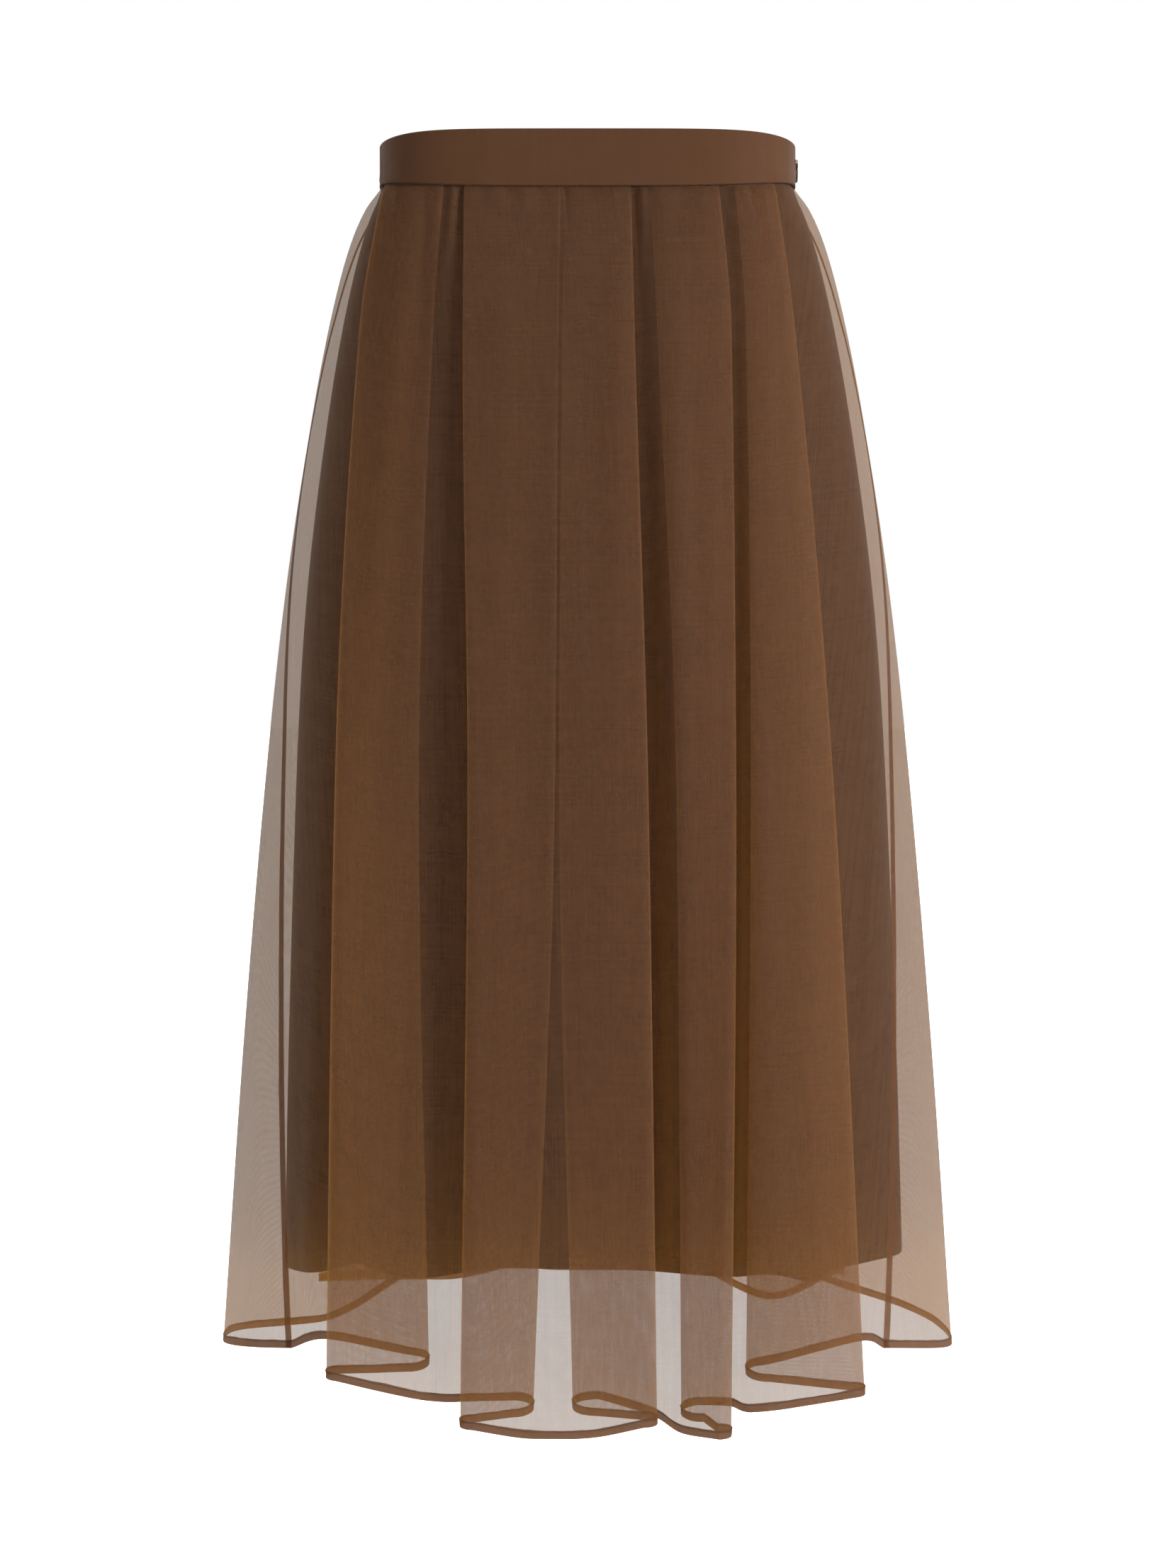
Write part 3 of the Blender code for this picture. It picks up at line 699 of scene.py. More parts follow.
def lining_points(folds, hem_waves, side):
    """The grid of points of one half of the lining."""
    turns = np.linspace(0, 180, LINING_COLUMNS + 1)
    across = -np.cos(np.radians(turns))
    top = waist_seam_z(across, 1) + RISES[0] * MM
    bottom = LINING_HEM_SIDE_Z + LINING_HEM_LIFT * (1 - across**2)
    for wave in hem_waves:
        bottom -= wave["drop"] * MM * np.exp(-(((across - wave["across"]) / wave["wide"]) ** 2))
    inside_z = [-row["z"] for row in LINING_INSIDE]
    inside_mm = [row["inside"] for row in LINING_INSIDE]
    grid = []
    for share in row_shares():
        z = top + share * (bottom - top)
        downs = np.clip((waist_seam_z(across, 1) - z) / (-SIDE_HEM_Z + WAIST_SEAM_Z), 0, 1)
        stand_offs = -smooth_between(-z / MM, inside_z, inside_mm) * MM
        for fold in folds:
            away = (across - fold["across"]) / fold["wide"]
            stand_offs += fold["out"] * MM * share * np.exp(-away * away)
        form = section(downs)
        grid.append(np.column_stack([form_points(form, turns, stand_offs, side), z]))
    return np.array(grid)


def thickened(piece, thickness):
    """Gives a sheet its thickness, half to each side."""
    solidify = piece.modifiers.new("thickness", "SOLIDIFY")
    solidify.thickness = thickness
    solidify.offset = 0
    return piece


lining_front_points = lining_points(FRONT_LINING_FOLDS, FRONT_HEM_WAVES, -1)
lining_back_points = lining_points(BACK_LINING_FOLDS, BACK_HEM_WAVES, 1)
lining_front = thickened(cloth_sheet("lining_cloth_front", lining_front_points), LINING_THICK)
lining_back = thickened(cloth_sheet("lining_cloth_back", lining_back_points, outward=-1), LINING_THICK)
for piece in (lining_front, lining_back):
    print(piece.name, f"{area_of(piece):.3f} square metres, {4 * len(piece.data.polygons)} triangles")

# %% [markdown]
# ## The waistband
#
# The band is one strip of cloth folded over a stiffening, so it has round edges at the top and at
# the seam, and its ends are sewn shut. Its profile, a flat loop, is carried along the waist line.
# A curve with a bevel object could do that too, but its ends and its underlap need their own
# places. Seam allowances inside it show as a faint ridge just above the waist seam.

# %% A closed strip
def closed_strip(name, rings):
    """A strip with a closed section: rings [along, around, xyz], with both ends shut."""
    count, around = rings.shape[:2]
    first = np.arange(count - 1)[:, None] * around
    here = np.arange(around)
    following = (here + 1) % around
    ahead = first + around
    walls = np.stack([first + here, first + following, ahead + following, ahead + here], axis=-1)
    last = (count - 1) * around
    ends = [list(range(around)), list(range(last, last + around))]
    piece = new_object(name, rings, walls.reshape(-1, 4).tolist() + ends)

    closed = np.concatenate([rings, rings[:, :1]], axis=1)
    cloth = np.stack([lengths_along(closed, 0), lengths_along(closed, 1)], axis=-1)
    corners = np.stack([cloth[:-1, :-1], cloth[:-1, 1:], cloth[1:, 1:], cloth[1:, :-1]], axis=2)
    caps = np.concatenate([cloth[0, :-1], cloth[-1, :-1]])
    uv = np.concatenate([corners.reshape(-1, 2), caps])
    piece.data.uv_layers.new(name="cloth").data.foreach_set("uv", uv.ravel())
    turn_outwards(piece)
    return piece


# %% Waistband
BAND_WALL = 2.4 * MM
BAND_SEAM_TURN = 14.0  # degrees from the wearer's right side to the seam in the band
TAB_END_TURN = 11.0  # degrees that the buttoned end reaches past the wearer's left side
UNDERLAP_TURN = 14.0  # degrees that the back band runs on underneath it
UNDERLAP_STEP = 12.0  # degrees over which the back band steps in to pass underneath
UNDERLAP_CLEAR = 2.0
SEAM_GAP = 0.3 * MM
BAND_COLUMNS = 300
EDGE_STEPS = 6  # steps round each folded edge
FACE_STEPS = 12  # steps up each face
ALLOWANCE_RIDGE = 0.3 * MM
ALLOWANCE_HEIGHT = 7.5 * MM  # of the ridge above the seam
ALLOWANCE_WIDE = 2.2 * MM
BAND_TOP_FALL = 4 * MM  # the band's top edge sits lower at the two sides
BAND_TOP_POWER = 8
END_ROUND = 1.3 * MM  # over which a sewn end of the band thins out
END_THIN = 0.08  # of its thickness, squared, at the very end
END_STEPS = np.array([0, 0.04, 0.1, 0.2, 0.35, 0.6])  # places of the first rings, in columns
BUCKLE_TALL = 0.5  # how far up and down a buckle reaches, as a share of the band, squared
# Slight buckles in the band: turn and wide in degrees, out in mm, up: -1 at the seam, 1 at the top.
BAND_BUCKLES = table(
    "turn wide out up",
    (16.2, 1.3, 0.5, -0.2),
    (27, 6, -0.35, -0.5),
    (38, 3, 0.2, -0.7),
    (52, 9, 0.25, 0.4),
    (75, 12, -0.2, 0.5),
    (94, 5, 0.2, -0.6),
    (112, 14, 0.2, -0.4),
    (136, 4, -0.25, -0.6),
    (150, 7, -0.3, 0.3),
    (171, 3, 0.4, -0.3),
)


# %% Shape of the band
def band_profile():
    """The band's section as rows of out and up, from the inner bottom edge up and over to the outer."""
    half, tall = BAND_WALL / 2, BAND_HEIGHT / 2
    swing = np.linspace(0, np.pi, EDGE_STEPS + 1)
    heights = np.linspace(-tall + half, tall - half, FACE_STEPS + 1)
    inner = np.column_stack([np.full(FACE_STEPS + 1, -half), heights])
    outer = np.column_stack([np.full(FACE_STEPS + 1, half), heights[::-1]])
    over = np.column_stack([-half * np.cos(swing), tall - half + half * np.sin(swing)])
    under = np.column_stack([half * np.cos(swing), -tall + half - half * np.sin(swing)])
    return np.concatenate([inner, over[1:-1], outer, under[1:-1]])


def band_line(turns, outs, side):
    """The middle line of the band, seen from above, and the way out from it."""
    line = form_points(section(0.0), turns, outs, side)
    along = np.gradient(line, axis=0)
    along /= np.linalg.norm(along, axis=1)[:, None]
    return line, np.column_stack([along[:, 1], -along[:, 0]]) * -side


def buckled(turn, up):
    """How far the band buckles out, at a turn and at heights above its middle."""
    tall = BAND_HEIGHT / 2
    dents = sum(
        dent["out"] * MM * math.exp(-(((turn - dent["turn"]) / dent["wide"]) ** 2))
        * np.exp(-((up / tall - dent["up"]) ** 2) / BUCKLE_TALL)
        for dent in BAND_BUCKLES
    )
    return dents * (1 - (up / tall) ** 4)  # the folds at top and bottom keep their places


def band(name, turns, outs, side):
    """A closed stretch of the waistband, between turns, standing out from the waist by outs."""
    line, outward = band_line(turns, outs, side)
    half_width = section(0.0)["half_width"]
    rise = waist_seam_z(line[:, 0], half_width) - WAIST_SEAM_Z
    fall = BAND_TOP_FALL * np.minimum(np.abs(line[:, 0]) / half_width, 1) ** BAND_TOP_POWER
    tall = BAND_HEIGHT / 2
    out, up = band_profile().T
    ridge = ALLOWANCE_RIDGE * np.exp(-(((up + tall - ALLOWANCE_HEIGHT) / ALLOWANCE_WIDE) ** 2)) * (out > 0)
    low_share = np.clip(0.5 - up / tall / 2, 0, 1)
    lengths = lengths_along(line, 0)
    to_end = np.minimum(lengths, lengths[-1] - lengths)
    rounding = np.sqrt(np.clip(to_end / END_ROUND, END_THIN, 1))
    rings = []
    for turn, spot, way, lift, drop, thin in zip(turns, line, outward, rise, fall, rounding):
        moved = out * thin + ridge + buckled(turn, up)
        z = up + (lift + SEAM_GAP / 2) * low_share**2 - drop * (1 - low_share) ** 2
        rings.append(np.column_stack([spot + way * moved[:, None], z]))
    return closed_strip(name, np.array(rings))


# %% Both stretches of the band
def with_ends(first, last, count):
    """Turns from first to last, closer together at both ends, where the strip's edges are round."""
    spread = np.linspace(0, 1, count)
    degree = (last - first) / count
    near = END_STEPS * degree
    return np.concatenate([first + near, first + (last - first) * spread[1:-1], last - near[::-1]])


seam_turn = SEAM_GAP / 2 * turns_per_metre(section(0.0), BAND_SEAM_TURN, 0, -1)
front_turns = with_ends(BAND_SEAM_TURN + seam_turn, 180 + TAB_END_TURN, BAND_COLUMNS)
waistband_front = band("waistband_cloth_front", front_turns, np.full(len(front_turns), BAND_OUT), -1)

back_turns = with_ends(-BAND_SEAM_TURN + seam_turn, 180 + UNDERLAP_TURN, BAND_COLUMNS)
tab_end = 180 - TAB_END_TURN
step = [back_turns[0], tab_end - UNDERLAP_STEP, tab_end - UNDERLAP_CLEAR, back_turns[-1]]
step_in = (BAND_WALL + SEAM_GAP) * smooth_between(back_turns, step, [0, 0, 1, 1])
waistband_back = band("waistband_cloth_back", back_turns, BAND_OUT - step_in, 1)
for piece in (waistband_front, waistband_back):
    print(piece.name, f"{area_of(piece) * 1e4:.0f} square centimetres")

# %% [markdown]
# ## Hems and seams
#
# The overskirt ends in a narrow hem, folded twice, which reads as a dark line because the light has
# three layers to get through. Down each side runs a French seam, also several layers thick. Both
# are flat closed ribbons laid along an edge of the sheet. Thickening the sheet itself there would
# need its own weights, and would not give the hem its own slightly wavy upper edge.

# %% Ribbons along an edge
def frame_along(edge, beside, outward):
    """Unit vectors at an edge of the cloth: along it, into the cloth, and out of its face."""
    along = np.gradient(edge, axis=0)
    along /= np.linalg.norm(along, axis=1)[:, None]
    into = beside - edge
    into -= along * np.sum(into * along, axis=1)[:, None]
    into /= np.linalg.norm(into, axis=1)[:, None]
    return along, into, np.cross(along, into) * outward


def waves(lengths, seed, longest):
    """A smooth uneven line between about -1 and 1, with waves up to the longest, in metres."""
    random = np.random.default_rng(seed)
    lines = [
        np.sin(2 * np.pi * (lengths / (longest * share) + random.random())) * math.sqrt(share)
        for share in (1.0, 0.53, 0.31, 0.17, 0.083)
    ]
    return sum(lines) / 2


def ribbon(name, edge, into, out, low, high, inner, outer):
    """A flat ribbon along an edge, from low to high into the cloth and from inner to outer off it.
    All four are arrays or numbers, in metres."""
    middle = (inner + outer) / 2
    thick = outer - inner
    tall = high - low
    profile = [  # into the cloth, out of its face
        (low, middle), (low + 0.12 * thick, middle + 0.35 * thick), (low + 0.5 * thick, outer),
        (low + tall / 2, outer), (high - 0.5 * thick, outer), (high, middle),
        (high - 0.5 * thick, inner), (low + tall / 2, inner), (low + 0.5 * thick, inner),
        (low + 0.12 * thick, middle - 0.35 * thick),
    ]
    ones = np.ones(len(edge))
    rings = [edge + into * (ones * up)[:, None] + out * (ones * off)[:, None] for up, off in profile]
    return closed_strip(name, np.stack(rings, axis=1))


# %% Hems of the overskirt
HEM_TALL = 5.0 * MM
HEM_THICK = 0.7 * MM
HEM_UNEVEN = 0.35 * MM
HEM_ROLL = 0.12 * MM
HEM_LAP = 0.2 * MM  # how far the folded cloth passes the sheet's edge


def hem_frame(points, outward):
    """The hem line, its frame, and the lengths along it."""
    edge = points[-1]
    _, into, out = frame_along(edge, points[-2], outward)
    return edge, into, out, lengths_along(edge, 0)


def hem(name, points, outward, seed):
    edge, into, out, lengths = hem_frame(points, outward)
    tall = HEM_TALL + HEM_UNEVEN * waves(lengths, seed, 0.09)
    roll = HEM_ROLL * waves(lengths, seed + 1, 0.05)
    return ribbon(name, edge, into, out, -HEM_LAP, tall, roll - HEM_THICK / 2, roll + HEM_THICK / 2)


hem_front = hem("overskirt_hem_front", front_points, 1, 5)
hem_back = hem("overskirt_hem_back", back_points, -1, 7)
for name, points in (("front", front_points), ("back", back_points)):
    widths = [round(1000 * float(lengths_along(points[row], 0)[-1])) for row in (len(RISES), -1)]
    print(name, "cloth at waist and hem, mm:", widths)

# %% Side seams of the overskirt
FRENCH_WIDE = 5.0 * MM
FRENCH_THICK = 0.6 * MM
FRENCH_INSIDE = 0.25 * MM  # from the sheer cloth to the folded seam
FRENCH_UNEVEN = 0.2 * MM
SEAM_LAP = 0.1 * MM
SEAM_TOP_ROW = len(RISES)  # the first row that isn't hidden in the band


def side_ribbon(name, points, first, wide, inner, outer, uneven=0.0):
    """The folded seam allowance inside one side seam, lying towards the back."""
    edge = points[SEAM_TOP_ROW:, 0 if first else -1]
    beside = points[SEAM_TOP_ROW:, 2 if first else -3]
    _, into, out = frame_along(edge, beside, 1)
    out *= np.sign(np.sum(out[:, :2] * edge[:, :2], axis=1))[:, None]
    wide = wide + uneven * waves(lengths_along(edge, 0), 11 + first, 0.12)
    return ribbon(name, edge, into, out, -SEAM_LAP, wide, inner, outer)


SIDES = (("right", True), ("left", False))
side_seams = [
    side_ribbon(f"overskirt_side_seam_{side}", back_points, first, FRENCH_WIDE,
                -FRENCH_INSIDE - FRENCH_THICK, -FRENCH_INSIDE, FRENCH_UNEVEN)
    for side, first in SIDES
]

# %% Hem and side seams of the lining
LINING_HEM_TALL = 13 * MM
LINING_SEAM_WIDE = 8 * MM
LINING_HEM_INSIDE = 0.2 * MM  # from the middle of the lining to the turned-up cloth
LINING_HEM_THICK = 0.5 * MM
LINING_HEM_UNEVEN = 0.3 * MM
LINING_SEAM_LAYERS = (-0.9 * MM, -0.4 * MM)  # its two faces, from the middle of the lining


def lining_hem(name, points, outward, seed):
    """The lining's hem, turned up on the inside."""
    edge, into, out, lengths = hem_frame(points, outward)
    tall = LINING_HEM_TALL + LINING_HEM_UNEVEN * waves(lengths, seed, 0.15)
    inner = -LINING_HEM_INSIDE - LINING_HEM_THICK
    return ribbon(name, edge, into, out, -SEAM_LAP, tall, inner, -LINING_HEM_INSIDE)


lining_hems = [
    lining_hem("lining_hem_front", lining_front_points, 1, 21),
    lining_hem("lining_hem_back", lining_back_points, -1, 23),
]
lining_seams = [
    side_ribbon(f"lining_side_seam_{side}", lining_back_points, first, LINING_SEAM_WIDE,
                *LINING_SEAM_LAYERS)
    for side, first in SIDES
]

# %% [markdown]
# ## Stitches
#
# Every stitch is a real little thread that rises from the cloth and dips back in at both ends. A
# bump in the material would be cheaper, but it can't stand up along an edge seen from the side,
# and the hems here are seen just like that. One function lays a row along any line.

# %% Rows of stitches
STITCH_SIDES = 5
# A stitch from end to end: place as a share of its length, width as a share of its thread, and
# how high its middle lies, in thread radii.
STITCH_SHAPE = [
    (-0.5, 0.4, -1.3), (-0.38, 0.85, -0.1), (-0.14, 1.0, 0.35),
    (0.14, 1.0, 0.35), (0.38, 0.85, -0.1), (0.5, 0.4, -1.3),
]


def at_spots(spots, lengths, values):
    """Values in three columns, read at places along a line."""
    return np.stack([np.interp(spots, lengths, column) for column in values.T], axis=1)


def stitches(name, line, out, pitch, length, thick, slant=0.0, seed=1):
    """A row of stitches on a line. out: the way out of the cloth. slant: degrees off the line."""
    random = np.random.default_rng(seed)
    lengths = lengths_along(line, 0)
    spots = np.arange(pitch / 2, lengths[-1], pitch)
    centre, normal = at_spots(spots, lengths, line), at_spots(spots, lengths, out)
    along = at_spots(spots + pitch / 4, lengths, line) - at_spots(spots - pitch / 4, lengths, line)
    along -= normal * np.sum(along * normal, axis=1)[:, None]
    along /= np.linalg.norm(along, axis=1)[:, None]
    normal /= np.linalg.norm(normal, axis=1)[:, None]
    beside = np.cross(normal, along)
    turn = np.radians(slant + random.normal(0, 2.5, len(spots)))[:, None]
    cosine, sine = np.cos(turn), np.sin(turn)
    along, beside = along * cosine + beside * sine, beside * cosine - along * sine
    size = (length * random.normal(1, 0.04, len(spots)))[:, None]

    angles = 2 * np.pi * np.arange(STITCH_SIDES) / STITCH_SIDES
    radius = thick / 2
    rings = []
    for share, wide, lift in STITCH_SHAPE:
        middle = centre + along * share * size + normal * lift * radius
        rings.append(np.stack(
            [middle + radius * wide * (normal * math.cos(a) + beside * math.sin(a)) for a in angles], axis=1
        ))
    points = np.stack(rings, axis=1)  # stitch, ring, corner, xyz
    ring_count = len(STITCH_SHAPE)
    here = np.arange(STITCH_SIDES)
    following = (here + 1) % STITCH_SIDES
    start = np.arange(ring_count - 1)[:, None] * STITCH_SIDES
    walls = np.stack([start + here, start + following, start + STITCH_SIDES + following,
                      start + STITCH_SIDES + here], axis=-1).reshape(-1, 4)
    first = np.arange(len(spots))[:, None, None] * ring_count * STITCH_SIDES
    faces = (first + walls).reshape(-1, 4).tolist()
    for end in (here, here[::-1] + (ring_count - 1) * STITCH_SIDES):
        faces += (first[:, 0] + end).tolist()
    piece = new_object(name, points, faces)
    turn_outwards(piece)
    return piece


# %% Stitches of the hems
HEM_STITCH = dict(pitch=2.4 * MM, length=1.8 * MM, thick=0.36 * MM)
LINING_STITCH = dict(pitch=2.8 * MM, length=2.1 * MM, thick=0.34 * MM)
HEM_STITCH_UP = 4.1 * MM  # above the edge of the hem
LINING_STITCH_UP = 11.5 * MM

hem_stitches, lining_stitches = [], []
for name, points, outward, seed in (("front", front_points, 1, 31), ("back", back_points, -1, 37)):
    edge, into, out, lengths = hem_frame(points, outward)
    middle = edge + into * (HEM_STITCH_UP + 0.1 * MM * waves(lengths, seed, 0.06))[:, None]
    for face, sign in (("out", 1), ("in", -1)):
        line = middle + out * sign * HEM_THICK / 2
        row = f"overskirt_hem_stitches_{name}_{face}"
        hem_stitches.append(stitches(row, line, out * sign, seed=seed, **HEM_STITCH))
halves = (("front", lining_front_points, 1, 41), ("back", lining_back_points, -1, 43))
for name, points, outward, seed in halves:
    edge, into, out, lengths = hem_frame(points, outward)
    line = edge + into * LINING_STITCH_UP + out * LINING_THICK / 2
    lining_stitches.append(stitches(f"lining_hem_stitches_{name}", line, out, seed=seed, **LINING_STITCH))

# %% Stitches along the waist seam
# These stitches are thick and get a darkened thread: real thread, plus painted shade that draws the
# shadowed seam line under the band.
WAIST_STITCH = dict(pitch=2.2 * MM, length=1.7 * MM, thick=0.5 * MM)
WAIST_STITCH_UP = 0.35 * MM  # above the band's lower edge, on its rounding
WAIST_STITCH_IN = 0.15 * MM
WAIST_STITCH_TURNS = {-1: (BAND_SEAM_TURN + 0.6, 179.0), 1: (-BAND_SEAM_TURN + 0.6, 166.0)}

waist_stitches = []
for name, side in (("front", -1), ("back", 1)):
    turns = np.linspace(*WAIST_STITCH_TURNS[side], 400)
    line, outward = band_line(turns, BAND_OUT, side)
    z = waist_seam_z(line[:, 0], section(0.0)["half_width"]) + SEAM_GAP / 2 + WAIST_STITCH_UP
    out = np.column_stack([outward, np.full(len(turns), -0.8)])  # the band's edge faces down too
    spots = np.column_stack([line + outward * (BAND_WALL / 2 - WAIST_STITCH_IN), z])
    row = f"waist_seam_stitches_{name}"
    waist_stitches.append(stitches(row, spots, out, seed=50 + side, **WAIST_STITCH))

stitch_faces = (len(STITCH_SHAPE) - 1) * STITCH_SIDES + 2
rows = hem_stitches + lining_stitches + waist_stitches
print("stitches:", sum(len(row.data.polygons) for row in rows) // stitch_faces)

# %% [markdown]
# ## The button
#
# The solid of the frame keeps the button simple. Here it is turned with more sides: a disc whose
# face is inset for the rim and sunk for the hollow, with its edges rounded by a bevel and four holes
# drilled by booleans. It is sewn on with three threads through each pair of holes. Beside it the end
# of the buttonhole shows, two rows of close stitches.

# %% Turn the button
BUTTON_SIDES, HOLE_SIDES = 96, 24
BUTTON_RIM = 1.1 * MM
BUTTON_HOLLOW = 0.7 * MM
BUTTON_ROUND = 0.45 * MM
HOLE_RADIUS = 0.8 * MM
HOLE_OFF = 1.2 * MM  # from the centre, both across and up

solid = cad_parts["button"]
corners = [solid.matrix_world @ Vector(corner) for corner in solid.bound_box]
button_low = np.min(corners, axis=0)
button_high = np.max(corners, axis=0)
button_place = (button_low + button_high) / 2
button_thick = float(button_high[0] - button_low[0])
button_radius = float(button_high[2] - button_low[2]) / 2


def add_disc(name, sides, radius, thick, place):
    """A cylinder whose axis runs left to right, with its place and turn applied."""
    bpy.ops.object.select_all(action="DESELECT")
    bpy.ops.mesh.primitive_cylinder_add(
        vertices=sides, radius=radius, depth=thick, location=place, rotation=(0, math.pi / 2, 0)
    )
    bpy.context.object.name = name
    bpy.ops.object.transform_apply(location=True, rotation=True, scale=True)
    return bpy.context.object


button = add_disc("sewn_button", BUTTON_SIDES, button_radius, button_thick, button_place)
bpy.ops.object.mode_set(mode="EDIT")
bpy.ops.mesh.select_mode(type="FACE")
bpy.ops.mesh.select_all(action="DESELECT")
bpy.ops.object.mode_set(mode="OBJECT")
for face in button.data.polygons:
    face.select = face.normal.x > 0.9
bpy.ops.object.mode_set(mode="EDIT")
bpy.ops.mesh.inset(thickness=BUTTON_RIM, depth=0)
bpy.ops.mesh.inset(thickness=BUTTON_HOLLOW, depth=-BUTTON_HOLLOW)
bpy.ops.object.mode_set(mode="OBJECT")

rounding = button.modifiers.new("rounding", "BEVEL")
rounding.width = BUTTON_ROUND
rounding.segments = 4
rounding.limit_method = "ANGLE"
cutters = []
for across in (-HOLE_OFF, HOLE_OFF):
    for up in (-HOLE_OFF, HOLE_OFF):
        spot = Vector(button_place) + Vector((0, across, up))
        cutters.append(add_disc("hole", HOLE_SIDES, HOLE_RADIUS, 3 * button_thick, spot))
        hole = button.modifiers.new("hole", "BOOLEAN")
        hole.object = cutters[-1]
        hole.solver = "EXACT"
bpy.ops.object.select_all(action="DESELECT")
bpy.context.view_layer.objects.active = button
button.select_set(True)
for modifier in list(button.modifiers):
    bpy.ops.object.modifier_apply(modifier=modifier.name)
for cutter in cutters:
    bpy.data.objects.remove(cutter)
button.data.shade_smooth()
button.data.set_sharp_from_angle(angle=math.radians(40))
print(f"button {2000 * button_radius:.1f} mm, {len(button.data.polygons)} faces")

# %% Thread of the button and buttonhole
BUTTON_STITCH = dict(pitch=0.33 * MM, length=2.9 * MM, thick=0.34 * MM, slant=90)
BUTTONHOLE_STITCH = dict(pitch=0.42 * MM, length=1.9 * MM, thick=0.4 * MM, slant=90)
BUTTONHOLE_TURNS = (168.5, 179.0)
BUTTONHOLE_UP = 1.05 * MM  # from the middle of the buttonhole to each of its rows
floor_x = button_high[0] - BUTTON_HOLLOW + 0.1 * MM
button_threads = []
for name, across in (("front", -HOLE_OFF), ("back", HOLE_OFF)):
    shift = np.array([[0, -0.5 * MM, 0], [0, 0.5 * MM, 0]])
    row = np.array([floor_x, button_place[1] + across, button_place[2]]) + shift
    ways = np.array([[1.0, 0, 0], [1.0, 0, 0]])
    button_threads.append(stitches(f"button_thread_{name}", row, ways, seed=61, **BUTTON_STITCH))

turns = np.linspace(*BUTTONHOLE_TURNS, 60)
line, outward = band_line(turns, BAND_OUT, -1)
out = np.column_stack([outward, np.zeros(len(turns))])
buttonhole = []
for name, up in (("upper", BUTTONHOLE_UP), ("lower", -BUTTONHOLE_UP)):
    z = button_place[2] + up
    face = BAND_WALL / 2 + np.array([buckled(turn, z) for turn in turns]) + 0.04 * MM
    spots = np.column_stack([line + outward * face[:, None], np.full(len(turns), z)])
    buttonhole.append(stitches(f"buttonhole_{name}", spots, out, seed=67, **BUTTONHOLE_STITCH))

# %% [markdown]
# ## Materials
#
# The sheer cloth is a fine open weave. Its yarns cover about half of what is behind them and let
# through some of the light that falls on their back. So each layer darkens what it covers, and
# layers add up to the browns of the photograph without any colour painted for them. Slightly
# thicker yarns make pale streaks. The weave is drawn in metres of cloth by a node group, which the
# opaque cloths use too. An image texture would need a file, and would show repeats in so much cloth.

# %% Weave, as a group
# The noise of the thicker yarns: along u, along v, and its share.
STREAKS = table("u v share", (1100, 14, 0.3), (9, 700, 0.25), (190, 5, 0.45))


def weave_group():
    """A plain weave in metres of cloth. Yarns: height of the yarns. Cover: 1 on a yarn, 0 in a
    gap. Streaks: thicker yarns. Clouds: broad unevenness. Grain: fine unevenness."""
    group = bpy.data.node_groups.new("plain weave", "ShaderNodeTree")
    yarns = group.interface.new_socket("Yarns per metre", in_out="INPUT", socket_type="NodeSocketFloat")
    yarns.default_value = 2500.0
    for name in ("Yarns", "Cover", "Streaks", "Clouds", "Grain"):
        group.interface.new_socket(name, in_out="OUTPUT", socket_type="NodeSocketFloat")
    given, result = group.nodes.new("NodeGroupInput"), group.nodes.new("NodeGroupOutput")
    cloth = group.nodes.new("ShaderNodeUVMap")
    cloth.uv_map = "cloth"
    axes = add(group, "SeparateXYZ", Vector=cloth.outputs["UV"])
    u, v = axes.outputs["X"], axes.outputs["Y"]

    def uneven(across, along, **kind):
        """Noise with so many waves in a metre across and along the cloth."""
        u_waves, v_waves = calc(group, "MULTIPLY", u, across), calc(group, "MULTIPLY", v, along)
        place = add(group, "CombineXYZ", X=u_waves, Y=v_waves)
        return add(group, "TexNoise", Vector=place.outputs[0], Scale=1.0, Detail=2.0, **kind).outputs["Fac"]

    turns = calc(group, "MULTIPLY", given.outputs["Yarns per metre"], math.pi)
    across = calc(group, "SINE", calc(group, "MULTIPLY", u, turns))
    along = calc(group, "SINE", calc(group, "MULTIPLY", v, turns))
    which = calc(group, "MULTIPLY", across, along)
    warp_up = calc(group, "MULTIPLY_ADD", which, 0.5, 0.5)
    weft_up = calc(group, "MULTIPLY_ADD", which, -0.5, 0.5)
    warp = calc(group, "ABSOLUTE", across)
    weft = calc(group, "ABSOLUTE", along)
    warp_height = calc(group, "MULTIPLY", warp, warp_up)
    weft_height = calc(group, "MULTIPLY", weft, weft_up)
    feed(group, result.inputs["Yarns"], calc(group, "MAXIMUM", warp_height, weft_height))
    feed(group, result.inputs["Cover"], calc(group, "MAXIMUM", warp, weft))

    streaks = [uneven(row["u"], row["v"]) for row in STREAKS]
    shares = [row["share"] for row in STREAKS]
    fine = calc(group, "MULTIPLY", streaks[1], shares[1])
    fine = calc(group, "MULTIPLY_ADD", streaks[0], shares[0], fine)
    feed(group, result.inputs["Streaks"], calc(group, "MULTIPLY_ADD", streaks[2], shares[2], fine))
    clouds = add(group, "TexNoise", Vector=cloth.outputs["UV"], Scale=32.0, Detail=4.0, Roughness=0.6)
    feed(group, result.inputs["Clouds"], clouds.outputs["Fac"])
    feed(group, result.inputs["Grain"], uneven(520.0, 900.0, Roughness=0.6))
    return group


WEAVE = weave_group()


def weave(tree, yarns_per_metre):
    node = tree.nodes.new("ShaderNodeGroup")
    node.node_tree = WEAVE
    node.inputs["Yarns per metre"].default_value = yarns_per_metre
    return node.outputs


def two_tints(tree, amount, first, second):
    """A colour between two, by an amount between 0 and 1."""
    mix = tree.nodes.new("ShaderNodeMix")
    mix.data_type = "RGBA"
    tree.links.new(amount, mix.inputs["Factor"])
    mix.inputs["A"].default_value = (*first, 1)
    mix.inputs["B"].default_value = (*second, 1)
    return next(socket for socket in mix.outputs if socket.type == "RGBA")


